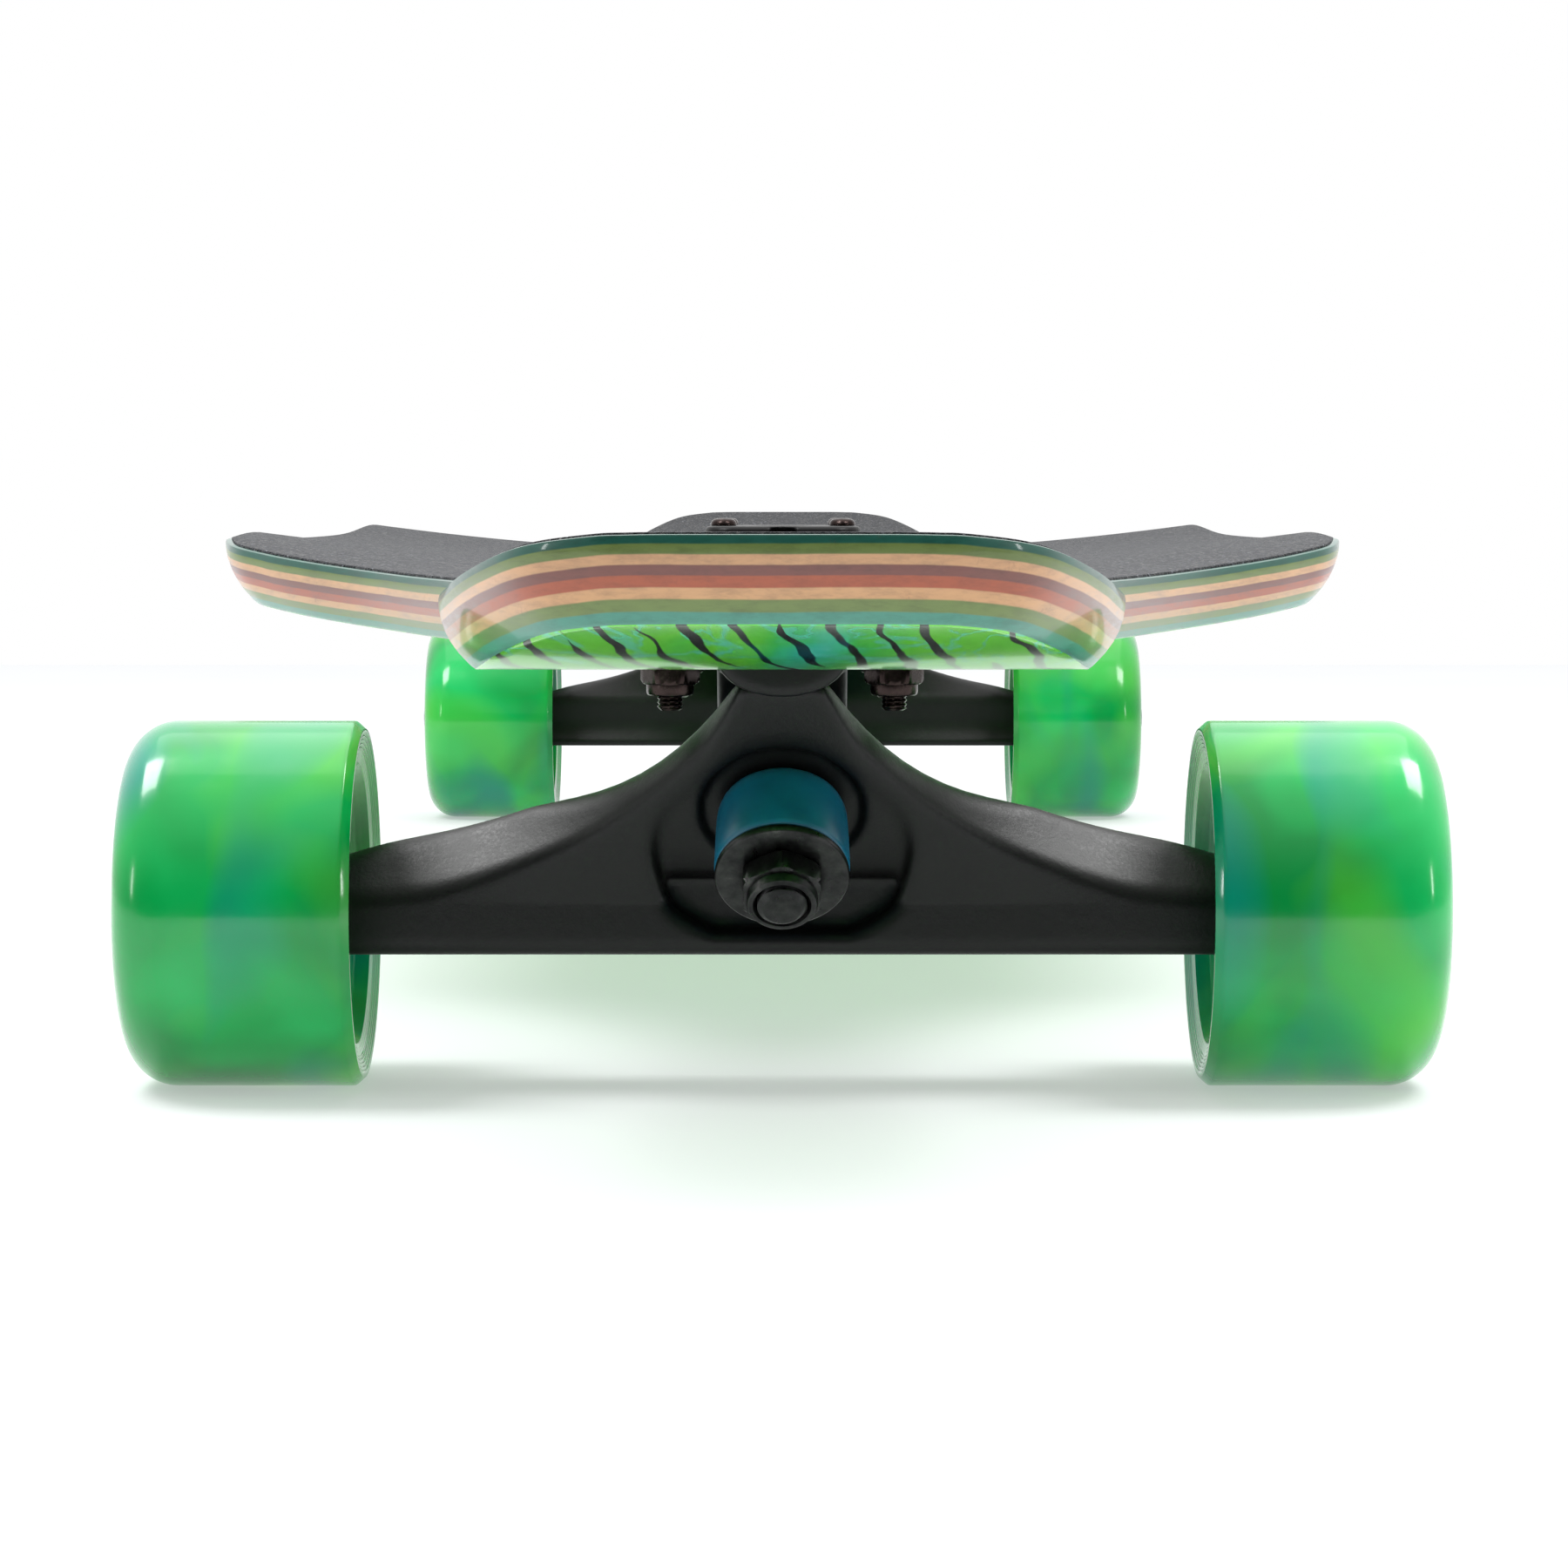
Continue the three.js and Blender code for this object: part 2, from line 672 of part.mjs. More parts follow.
function wheel(name, mirror) {
  const group = new THREE.Group();
  group.rotation.z = mirror ? Math.PI : 0;
  group.add(
    piece(`${name}_tyre`, tyre(), finishes.urethane),
    piece(`${name}_core`, core(), finishes.core),
    piece(`${name}_inner_bearing`, bearing(innerBearingX), finishes.steel),
    piece(`${name}_outer_bearing`, bearing(outerBearingX), finishes.steel),
    piece(`${name}_axle_nut`, axleNut(), finishes.darkChrome),
  );
  return group;
}

// A truck's own +X end is the board's right at the front, and its left at the rear.
function truck(name, positiveSide, negativeSide) {
  const group = new THREE.Group();
  group.add(
    piece(`${name}_baseplate`, baseplate(), finishes.castBlack),
    piece(`${name}_pivot_cup`, pivotCup(), finishes.cup),
    piece(`${name}_kingpin`, kingpin(), finishes.blackOxide),
    piece(`${name}_boardside_washer`, washer(boardsideSeat - gap - washerThickness), finishes.blackOxide),
    piece(`${name}_boardside_bushing`, bushing(seatBack - gap, boardsideSeat), finishes.bushingBlue),
    piece(`${name}_roadside_bushing`, bushing(seatFront + gap, roadsideSeat), finishes.bushingBlue),
    piece(`${name}_roadside_washer`, washer(roadsideSeat + gap), finishes.blackOxide),
    piece(`${name}_kingpin_nut`, kingpinNut(), finishes.blackOxide),
    piece(`${name}_hanger`, hanger(), finishes.castBlack),
    piece(`${name}_axle`, axle(), finishes.steel),
    wheel(`${name}_${positiveSide}`, false),
    wheel(`${name}_${negativeSide}`, true),
  );
  const labels = [
    `outer_${negativeSide}`,
    `outer_${positiveSide}`,
    `inner_${negativeSide}`,
    `inner_${positiveSide}`,
  ];
  boltPlaces().forEach((place, i) => {
    group.add(piece(`${name}_${labels[i]}_bolt`, bolt(place), finishes.darkChrome));
    group.add(piece(`${name}_${labels[i]}_locknut`, lockNut(place), finishes.darkChrome));
  });
  return group;
}

const board = new THREE.Group();
board.add(piece("deck", deck(), finishes.laminate), piece("grip_tape", gripTape(), finishes.grip));

const frontTruck = truck("front", "right", "left");
frontTruck.position.set(0, -axleY, wheelRadius);

const rearTruck = truck("rear", "left", "right");
rearTruck.position.set(0, axleY, wheelRadius);
rearTruck.rotation.z = Math.PI;

board.add(frontTruck, rearTruck);

export default board;
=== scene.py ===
"""A drop-through longboard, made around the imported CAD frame.

Lengths are in millimetres until an object is made. The studio's own sizes are in metres.

A truck is built in a frame of its own: its origin is the axle's centre, +X runs along the axle and -Y points
away from the board's middle. The front truck stands in that frame as it is, and the rear one turned half a
turn about Z.
"""

import math

import bpy
import numpy as np
from mathutils import Matrix, Vector


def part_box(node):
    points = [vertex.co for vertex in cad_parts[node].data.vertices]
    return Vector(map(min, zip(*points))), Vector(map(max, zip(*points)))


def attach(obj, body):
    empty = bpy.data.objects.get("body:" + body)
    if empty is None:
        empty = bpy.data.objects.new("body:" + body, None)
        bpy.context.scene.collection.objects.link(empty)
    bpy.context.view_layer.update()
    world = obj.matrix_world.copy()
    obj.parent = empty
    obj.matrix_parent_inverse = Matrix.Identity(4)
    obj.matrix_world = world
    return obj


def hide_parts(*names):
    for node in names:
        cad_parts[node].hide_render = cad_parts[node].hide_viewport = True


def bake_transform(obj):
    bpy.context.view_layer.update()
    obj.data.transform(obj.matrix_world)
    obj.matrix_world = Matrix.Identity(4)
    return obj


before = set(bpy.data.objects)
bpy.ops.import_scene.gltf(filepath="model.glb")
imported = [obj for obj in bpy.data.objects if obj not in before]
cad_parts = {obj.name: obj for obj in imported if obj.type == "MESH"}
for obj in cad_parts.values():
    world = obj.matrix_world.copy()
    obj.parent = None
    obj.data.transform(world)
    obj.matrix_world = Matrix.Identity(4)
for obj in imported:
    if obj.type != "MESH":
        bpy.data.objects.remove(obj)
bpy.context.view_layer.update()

MM = 0.001

# ------------------------------ Sizes, in millimetres

AXLE = (Vector(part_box("front_axle")[0]) + Vector(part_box("front_axle")[1])) / 2 / MM
AXLE_Y = -AXLE.y
WHEEL_RADIUS = AXLE.z
TIP_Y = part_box("deck")[1].y / MM
FULL_HALF_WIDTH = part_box("deck")[1].x / MM
NOSE_HALF_WIDTH = 60.0
# The rounded end: how far back from the tip, and the half width there as a share of the nose's.
NOSE_END = (
    (0, 0.26), (0.06, 0.32), (0.4, 0.4), (1.4, 0.49), (7, 0.65),
    (17, 0.76), (35, 0.865), (58, 0.938), (82, 0.982), (110, 1),
)
# The shoulders: how far out from the axle's line, and the share of the way from nose width to full width.
SHOULDER = ((-15, 0.007), (-50, 0.09), (-100, 0.42), (-135, 0.8), (-150, 0.945), (-168, 1.0))
DECK_OVER_AXLE = 48.0
DECK_UNDERSIDE = WHEEL_RADIUS + DECK_OVER_AXLE
DECK_THICKNESS = 12.8
# The deck's rim from its top edge down to its foot: how far in from the outline, and how far up.
EDGE = (
    (0.5, 12.8), (0.15, 12.6), (0, 12.0), (0.05, 10.6), (0.4, 8.6), (1.1, 6.6),
    (2.1, 4.7), (3.4, 2.9), (4.7, 1.5), (5.6, 0.6), (6.4, 0),
)
GRIP_THICKNESS = 0.6
NOSE_RISE_START = 75.0
NOSE_RISE_RADIUS = 396.0
FLAT_HALF_WIDTH = 35.0
CONCAVE_DEPTH = 6.0
FLARE_DEPTH = 2.4
FLARE_PLACE = 153.0
FLARE_SPREAD = 60.0
STROKE_SPACING = 7.2

UP = Vector((0, 0, 1))
ALONG_AXLE = Vector((1, 0, 0))
KINGPIN_LEAN = math.radians(40)
RING_CENTRE = Vector((0, -15.8, 19.9))
OUTWARDS = Vector((0, -math.cos(KINGPIN_LEAN), -math.sin(KINGPIN_LEAN)))
PIVOT_TIP = Vector((0, 18, 0))
STEERING = (PIVOT_TIP - RING_CENTRE).normalized()
AXLE_RADIUS = 3.98
AXLE_HALF_LENGTH = 127.0
KINGPIN_RADIUS = 4.72
WASHER_BORE = 4.95
BEARING_WIDTH = 7

# Each bolt's place in a truck's frame.
BOLTS = {
    f"{row}_{side}": (x, y)
    for row, y in (("outer", -31.0), ("inner", 23.0))
    for side, x in (("left", -20.65), ("right", 20.65))
}
BOLT_HOLE_RADIUS = 2.6
FLANGE_THICKNESS = 6
FLANGE_LOW = DECK_OVER_AXLE + DECK_THICKNESS + 1.3
FLANGE_HIGH = FLANGE_LOW + FLANGE_THICKNESS


# ------------------------------ Mesh making


def new_mesh(name, vertices, faces):
    mesh = bpy.data.meshes.new(name)
    mesh.from_pydata([tuple(v) for v in np.asarray(vertices, float) * MM], [], faces)
    mesh.validate()
    mesh.shade_smooth()
    return mesh


def place_mesh(name, mesh):
    made = bpy.data.objects.new(name, mesh)
    bpy.context.scene.collection.objects.link(made)
    return made


def add_object(name, vertices, faces):
    return place_mesh(name, new_mesh(name, vertices, faces))


def add_casting(name, mesh):
    """A copy of a mesh from a grid, with the grid's steps smoothed away."""
    made = place_mesh(name, mesh.copy())
    relax = made.modifiers.new("relax", "SMOOTH")
    relax.factor = 0.5
    relax.iterations = 2
    return made


def frame_along(origin, direction):
    """Turns +Z to this direction and moves the origin there."""
    return Matrix.Translation(origin) @ UP.rotation_difference(direction).to_matrix().to_4x4()


def revolved(name, profile, origin=Vector(), direction=UP, segments=96, sharp_angle=35):
    """Turns a closed profile of (radius, distance) about a line. A radius may be a function of the angles."""
    angles = np.arange(segments) * (2 * math.pi / segments)
    rings, faces = [], []
    for radius, distance in profile:
        radii = radius(angles) if callable(radius) else np.full(segments, float(radius))
        ring = [radii * np.cos(angles), radii * np.sin(angles), np.full(segments, distance)]
        rings.append(np.stack(ring, 1))
    points = np.concatenate(rings)
    count = len(profile)
    for i in range(count):
        a = i * segments
        b = (i + 1) % count * segments
        for j in range(segments):
            k = (j + 1) % segments
            faces.append((a + j, a + k, b + k, b + j))
    turn = np.array(frame_along(origin, direction))
    made = add_object(name, points @ turn[:3, :3].T + turn[:3, 3], faces)
    made.data.set_sharp_from_angle(angle=math.radians(sharp_angle))
    return made


def hexagon(flats):
    """The radius of a hexagon at any angle, with a corner at angle 0."""
    return lambda angles: flats / 2 / np.cos((angles + math.pi / 6) % (math.pi / 3) - math.pi / 6)


def hexagon_within(flats, limit):
    """A hexagon's radius with its corners turned down to a limit."""
    shape = hexagon(flats)
    return lambda angles: np.minimum(shape(angles), limit)


def thread(radius, distance, pitch=0.8, depth=0.35):
    """One ring of a screw thread."""

    def radii(angles):
        phase = (distance / pitch - angles / (2 * math.pi)) % 1
        return radius - depth * np.abs(2 * phase - 1)

    return radii


def smooth_max(a, b, radius):
    """The larger of two distances, blended where they differ by less than the radius."""
    blend = np.maximum(radius - np.abs(a - b), 0) / radius
    return np.maximum(a, b) + blend * blend * radius / 4


def smooth_min(a, b, radius):
    return -smooth_max(-a, -b, radius)


def smooth_step(value, low, high):
    t = np.clip((value - low) / (high - low), 0, 1)
    return t * t * (3 - 2 * t)


def polygon_distance(points, a, b):
    """The signed distance from a closed outline to every (a, b), negative inside."""
    nearest = np.full(np.broadcast(a, b).shape, np.inf)
    inside = np.zeros(nearest.shape, bool)
    for (a0, b0), (a1, b1) in zip(points, points[1:] + points[:1]):
        da, db = a1 - a0, b1 - b0
        if not (da or db):
            continue
        t = np.clip(((a - a0) * da + (b - b0) * db) / (da * da + db * db), 0, 1)
        nearest = np.minimum(nearest, (a - a0 - t * da) ** 2 + (b - b0 - t * db) ** 2)
        if db:
            inside ^= ((b0 > b) != (b1 > b)) & (a < (b - b0) * da / db + a0)
    return np.where(inside, -1, 1) * np.sqrt(nearest)


def quadratic(start, control, end, steps=10):
    """Points on a quadratic curve, without its start."""
    return [
        tuple((1 - t) ** 2 * s + 2 * t * (1 - t) * c + t * t * e for s, c, e in zip(start, control, end))
        for t in (np.arange(steps) + 1) / steps
    ]


def catmull_rom(points, steps=8):
    """A smooth curve through these points."""
    padded = [points[0], *points, points[-1]]
    curve = []
    for near in zip(padded, padded[1:], padded[2:], padded[3:]):
        for t in np.arange(steps) / steps:
            weights = (-t + 2 * t**2 - t**3, 2 - 5 * t**2 + 3 * t**3, t + 4 * t**2 - 3 * t**3, t**3 - t**2)
            curve.append(tuple(sum(w * p[i] for w, p in zip(weights, near)) / 2 for i in (0, 1)))
    return curve + [tuple(points[-1])]


class Field:
    """A grid of points in a truck's frame, with distances to the lines that a truck is built about."""

    def __init__(self, low, high, step):
        self.low = np.array(low, float)
        self.step = step
        xs, ys, zs = (np.arange(a, b + step, step) for a, b in zip(low, high))
        self.x = xs[:, None, None]
        self.y = ys[None, :, None]
        self.z = zs[None, None, :]

    def offsets(self, origin):
        return self.x - origin.x, self.y - origin.y, self.z - origin.z

    def along(self, origin, direction):
        """How far each point lies along a line from its origin."""
        dx, dy, dz = self.offsets(origin)
        return dx * direction.x + dy * direction.y + dz * direction.z

    def from_line(self, origin, direction):
        dx, dy, dz = self.offsets(origin)
        square = dx**2 + dy**2 + dz**2
        return np.sqrt(np.maximum(square - self.along(origin, direction) ** 2, 0))

    def rod(self, origin, direction, radius, start, end, round_by=0.01):
        along = self.along(origin, direction)
        ends = np.maximum(start - along, along - end)
        return smooth_max(self.from_line(origin, direction) - radius, ends, round_by)

    def surface(self, name, values):
        """The zero surface of the values as a mesh, by the surface nets method."""
        cells = np.array(values.shape) - 1
        total = np.zeros((*cells, 3))
        count = np.zeros(cells)
        quads = []
        for axis in range(3):
            size = values.shape[axis]
            before = np.take(values, range(size - 1), axis)
            after = np.take(values, range(1, size), axis)
            crossing = np.argwhere((before < 0) != (after < 0))
            a = before[tuple(crossing.T)]
            b = after[tuple(crossing.T)]
            point = crossing.astype(float)
            point[:, axis] += a / (a - b)
            around = []
            for du, dv in ((0, 0), (1, 0), (1, 1), (0, 1)):
                cell = crossing.copy()
                cell[:, (axis + 1) % 3] -= du
                cell[:, (axis + 2) % 3] -= dv
                around.append(np.ravel_multi_index(tuple(cell.T), cells))
                np.add.at(total, tuple(cell.T), point)
                np.add.at(count, tuple(cell.T), 1)
            ids = np.stack(around, 1)
            quads.append(np.where((a < 0)[:, None], ids, ids[:, ::-1]))
        used, faces = np.unique(np.concatenate(quads), return_inverse=True)
        centres = total.reshape(-1, 3)[used] / count.reshape(-1)[used][:, None]
        return new_mesh(name, centres * self.step + self.low, faces.reshape(-1, 4).tolist())


# ------------------------------ Materials


def rgb(red, green, blue):
    """A colour given in sRGB, 0 to 255."""
    shares = (c / 255 for c in (red, green, blue))
    linear = (c / 12.92 if c <= 0.04045 else ((c + 0.055) / 1.055) ** 2.4 for c in shares)
    return (*linear, 1.0)


class Look:
    """A material with one Principled shader, and short calls that add nodes to it."""

    def __init__(self, name, **constants):
        self.material = bpy.data.materials.new(name)
        self.material.use_nodes = True
        self.tree = self.material.node_tree
        self.shader = self.tree.nodes["Principled BSDF"]
        self.place = self.add("TexCoord").outputs["Object"]
        for key, value in constants.items():
            self.set(key.replace("_", " ").title().replace("Ior", "IOR"), value)

    def add(self, kind, inputs=None, **settings):
        node = self.tree.nodes.new("ShaderNode" + kind)
        for key, value in settings.items():
            setattr(node, key, value)
        for key, value in (inputs or {}).items():
            if isinstance(value, bpy.types.NodeSocket):
                self.tree.links.new(value, node.inputs[key])
            else:
                node.inputs[key].default_value = value
        return node

    def set(self, socket, value):
        """Gives one of the shader's sockets a value or a link."""
        if isinstance(value, bpy.types.NodeSocket):
            self.tree.links.new(value, self.shader.inputs[socket])
        else:
            self.shader.inputs[socket].default_value = value

    def scaled(self, x, y, z, place=None, move=(0, 0, 0)):
        mapping = {"Vector": place or self.place, "Scale": (x, y, z), "Location": move}
        return self.add("Mapping", mapping).outputs["Vector"]

    def noise(self, scale, detail=3.0, roughness=0.55, distortion=0.0, place=None):
        inputs = {
            "Vector": place or self.place,
            "Scale": scale,
            "Detail": detail,
            "Roughness": roughness,
            "Distortion": distortion,
        }
        return self.add("TexNoise", inputs).outputs["Fac"]

    def cells(self, scale):
        return self.add("TexVoronoi", {"Vector": self.place, "Scale": scale}).outputs

    def ramp(self, value, stops):
        """A colour or a grey that changes with a value, from stops of (value, colour or grey)."""
        node = self.add("ValToRGB", {"Fac": value})
        elements = node.color_ramp.elements
        while len(elements) < len(stops):
            elements.new(0.5)
        for element, (position, colour) in zip(elements, stops):
            element.position = position
            element.color = colour if isinstance(colour, tuple) else (colour, colour, colour, 1)
        return node.outputs["Color"]

    def mix(self, share, a, b, blend="MIX"):
        """Two colours mixed. The node's colour sockets are its inputs 6 and 7 and its output 2."""
        inputs = {0: share, 6: a, 7: b}
        return self.add("Mix", inputs, data_type="RGBA", blend_type=blend).outputs[2]

    def math(self, operation, a, b=0.0):
        return self.add("Math", {0: a, 1: b}, operation=operation).outputs[0]

    def bump(self, height, distance, strength=1.0, normal=None):
        inputs = {"Height": height, "Distance": distance * MM, "Strength": strength}
        if normal:
            inputs["Normal"] = normal
        return self.add("Bump", inputs).outputs["Normal"]


def cast_black():
    """Satin black powder coat on a sandblasted casting."""
    look = Look("cast_black", metallic=0.0, specular_ior_level=0.36)
    blotches = look.noise(60, 4)
    grains = look.noise(1500, 3, 0.6)
    pits = look.noise(420, 4, 0.6)
    look.set("Base Color", look.ramp(blotches, ((0.3, rgb(7, 7, 8)), (0.7, rgb(13, 13, 13)))))
    look.set("Roughness", look.ramp(look.math("ADD", blotches, grains), ((0.55, 0.3), (1.35, 0.44))))
    fine = look.bump(grains, 0.06, 0.55)
    look.set("Normal", look.bump(pits, 0.16, 0.35, fine))
    return look.material


def black_oxide():
    """Blackened steel with a faint oily sheen, worn a little at random."""
    look = Look("black_oxide", metallic=1.0)
    wear = look.noise(220, 5, 0.65)
    scratches = look.noise(500, 3, 0.6, place=look.scaled(1, 0.12, 1))
    shades = ((0.35, rgb(44, 44, 45)), (0.62, rgb(66, 66, 66)), (0.8, rgb(104, 103, 101)))
    look.set("Base Color", look.ramp(wear, shades))
    look.set("Roughness", look.ramp(scratches, ((0.3, 0.26), (0.75, 0.48))))
    look.set("Normal", look.bump(scratches, 0.03, 0.4))
    return look.material


def dark_chrome():
    """Dark plated steel, faintly brown where it is stained."""
    look = Look("dark_chrome", metallic=1.0)
    stains = look.noise(320, 4, 0.6)
    shades = ((0.3, rgb(44, 36, 35)), (0.6, rgb(62, 52, 50)), (0.8, rgb(110, 98, 95)))
    look.set("Base Color", look.ramp(stains, shades))
    look.set("Roughness", look.ramp(stains, ((0.3, 0.2), (0.8, 0.36))))
    look.set("Normal", look.bump(look.noise(900, 2), 0.03, 0.4))
    return look.material


def steel(name, low, high):
    """Turned steel, brushed along one direction, between two greys."""
    look = Look(name, metallic=1.0)
    brushed = look.noise(900, 3, 0.6, place=look.scaled(0.05, 1, 1))
    look.set("Base Color", look.ramp(brushed, ((0.3, rgb(*low)), (0.7, rgb(*high)))))
    look.set("Roughness", look.ramp(look.noise(200, 3), ((0.3, 0.2), (0.7, 0.36))))
    look.set("Normal", look.bump(brushed, 0.02, 0.4))
    return look.material


def wheel_urethane(name, seed):
    """Poured urethane, clouded with paler, yellower and bluer greens."""
    look = Look(name, specular_ior_level=0.5, coat_weight=0.18, coat_roughness=0.06)
    shifted = look.scaled(1, 1, 1, move=(seed * 0.37, seed * 0.71, seed * 0.13))
    soft = look.noise(34, 2.0, 0.45, 0.4, shifted)
    patches = look.noise(34, 1.2, 0.4, 0.5, look.scaled(1, 1, 1, shifted, (5.3, 0.6, 2.2)))
    teal = look.noise(28, 1.2, 0.4, 0.5, look.scaled(1.8, 0.8, 0.8, shifted, (3.1, 1.7, 0.4)))
    greens = ((0.32, rgb(0, 140, 62)), (0.5, rgb(0, 166, 76)), (0.68, rgb(18, 188, 94)))
    green = look.ramp(soft, greens)
    yellow = look.mix(look.ramp(patches, ((0.48, 0.0), (0.78, 0.7))), green, rgb(84, 196, 40))
    mixed = look.mix(look.ramp(teal, ((0.5, 0.0), (0.74, 0.9))), yellow, rgb(0, 138, 118))
    look.set("Base Color", mixed)
    look.set("Roughness", look.ramp(look.noise(160, 3), ((0.3, 0.12), (0.75, 0.24))))
    look.set("Normal", look.bump(look.noise(260, 3), 0.04, 0.35))
    return look.material


def satin_plastic(name, low, high, roughness=0.35, grain=700):
    """Moulded plastic or urethane with a faint grain, between two close colours."""
    look = Look(name, specular_ior_level=0.5)
    look.set("Base Color", look.ramp(look.noise(90, 4), ((0.3, rgb(*low)), (0.7, rgb(*high)))))
    look.set("Roughness", look.ramp(look.noise(300, 3), ((0.3, roughness), (0.75, roughness + 0.14))))
    look.set("Normal", look.bump(look.noise(grain, 3), 0.03, 0.4))
    return look.material


def grip_tape():
    """Silicon carbide grit in black resin: coarse grains, some of which glint."""
    look = Look("grip", specular_ior_level=0.55)
    grains = look.cells(1500)
    coarse = look.noise(900, 4, 0.7)
    shade = look.math("MULTIPLY", grains["Color"], coarse)
    greys = ((0.12, rgb(22, 23, 26)), (0.45, rgb(58, 60, 65)), (0.62, rgb(150, 153, 160)))
    look.set("Base Color", look.ramp(shade, greys))
    look.set("Roughness", look.ramp(grains["Color"], ((0.1, 0.38), (0.6, 0.8))))
    look.set("Normal", look.bump(grains["Distance"], 0.5, 0.9, look.bump(coarse, 0.35, 0.8)))
    return look.material


# The veneers from the underside up: how far up each one ends, as a share of the thickness, and its colour.
PLIES = (
    (0.135, rgb(66, 138, 120)),
    (0.265, rgb(104, 124, 62)),
    (0.385, rgb(202, 154, 108)),
    (0.515, rgb(166, 78, 44)),
    (0.635, rgb(118, 66, 56)),
    (0.755, rgb(204, 156, 112)),
    (0.88, rgb(100, 120, 56)),
    (1.0, rgb(12, 82, 68)),
)


def brush_strokes(look):
    """Wavy slanted strokes along the board, broken into lengths: 1 on a stroke and 0 beside it."""
    split = look.add("SeparateXYZ", {"Vector": look.place}).outputs
    waves = look.noise(1.0, 2, 0.5, place=look.scaled(30, 22, 0))
    wander = look.math("MULTIPLY", look.math("SUBTRACT", waves, 0.5), 0.011)
    slant = look.math("MULTIPLY", split["Y"], -0.13)
    slanted = look.math("ADD", split["X"], slant)
    across = look.math("DIVIDE", look.math("ADD", slanted, wander), STROKE_SPACING * MM)
    row = look.math("FLOOR", across)

    along = look.math("ADD", look.math("MULTIPLY", split["Y"], 24.0), look.math("MULTIPLY", row, 5.37))
    lengths = look.add("CombineXYZ", {"X": along, "Y": look.math("MULTIPLY", row, 3.1)}).outputs[0]
    swell = look.noise(1.0, 1, 0.5, place=lengths)
    half_width = look.ramp(swell, ((0.36, 0.0), (0.48, 0.085), (0.68, 0.15)))
    offset = look.math("ABSOLUTE", look.math("SUBTRACT", look.math("FRACT", across), 0.5))
    return look.math("LESS_THAN", offset, half_width)


def veneer_colours(look, layer, fibres):
    """Grained plies at the edge, with a few dark pores."""
    waver = look.math("MULTIPLY", look.math("SUBTRACT", look.noise(38, 3), 0.5), 0.045)
    stops, start, seam = [], 0.0, 0.008
    for end, colour in PLIES:
        stops += [(start + seam, colour), (end - seam, colour)]
        start = end
    veneers = look.ramp(look.math("ADD", layer, waver), stops)
    pores = look.noise(260, 5, 0.75, place=look.scaled(1, 0.15, 0.9))
    grain = look.ramp(fibres, ((0.3, 0.66), (0.55, 1.0), (0.8, 1.12)))
    wood = look.mix(0.75, veneers, grain, "MULTIPLY")
    return look.mix(look.ramp(pores, ((0.62, 0.0), (0.78, 0.45))), wood, rgb(92, 52, 36))


def print_colours(look):
    """A marbled green print with pale veins, under dark brush strokes."""
    swirl = look.noise(16, 3, 0.5, 1.6, look.scaled(1.0, 0.5, 1.0))
    threads = look.noise(30, 3, 0.5, 2.6, look.scaled(1.0, 0.4, 1.0))
    greens = (
        (0.36, rgb(74, 190, 44)),
        (0.5, rgb(104, 212, 40)),
        (0.62, rgb(66, 200, 76)),
        (0.7, rgb(60, 196, 160)),
    )
    vein = look.ramp(threads, ((0.47, 0.0), (0.5, 0.8), (0.53, 0.0)))
    marbled = look.mix(vein, look.ramp(swirl, greens), rgb(92, 206, 178))
    return look.mix(brush_strokes(look), marbled, rgb(8, 12, 12))


def deck_wood():
    """Clear-coated veneers, told apart by the layer attribute, and a marbled print on the underside."""
    look = Look("deck_wood", specular_ior_level=0.5, coat_weight=0.5, coat_roughness=0.08)
    layer = look.add("Attribute", attribute_name="layer").outputs["Fac"]
    fibres = look.noise(700, 4, 0.7, place=look.scaled(0.3, 0.12, 1.0))
    underside = look.math("LESS_THAN", layer, 0.012)
    look.set("Base Color", look.mix(underside, veneer_colours(look, layer, fibres), print_colours(look)))
    edge_roughness = look.ramp(fibres, ((0.3, 0.3), (0.7, 0.45)))
    look.set("Roughness", look.mix(underside, edge_roughness, (0.16, 0.16, 0.16, 1)))
    look.set("Normal", look.bump(fibres, 0.05, 0.35))
    return look.material


FINISHES = {
    "truck_metal": cast_black(),
    "black_hardware": black_oxide(),
    "deck_hardware": dark_chrome(),
    "axle_steel": steel("axle_steel", (120, 122, 126), (168, 170, 174)),
    "bearing_steel": steel("bearing_steel", (150, 152, 156), (196, 198, 202)),
    "pivot_urethane": satin_plastic("pivot_urethane", (18, 18, 20), (30, 30, 33), 0.5),
    "bushing_urethane": satin_plastic("bushing_urethane", (8, 86, 118), (16, 108, 144), 0.28, 500),
    "wheel_core": satin_plastic("wheel_core", (0, 126, 66), (8, 150, 78), 0.28),
    "grip": grip_tape(),
    "deck_wood": deck_wood(),
}
# Where each wheel's clouds are cut from the noise, so that no two wheels look alike.
WHEEL_SEEDS = {"front_left": 1.0, "front_right": 2.35, "rear_left": 4.7, "rear_right": 7.9}


def settle(piece, body, slot, *nodes, finish=None):
    """Gives a piece its finish and its body, and hides the CAD nodes that it stands for."""
    piece.data.materials.clear()
    piece.data.materials.append(finish or FINISHES[slot])
    if body:
        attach(piece, body)
    if nodes:
        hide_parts(*nodes)


# ------------------------------ Camera, light and floor

CAMERA_X = 0.35
CAMERA_HEIGHT = 112.4
CAMERA_BEFORE_AXLE = 847.0
CAMERA_PITCH = math.radians(3.683)
CAMERA_LENS = 101.6
CAMERA_SENSOR = 36.0

# The room is brightest in this direction, which is up and behind the board.
BRIGHTEST = (0.0, 0.62, 0.78)
# In metres.
FLOOR_WIDTH = 3.6
CARD_WIDTH = 2.0
CARD_PLACE = (0, -1.84, 0.004)


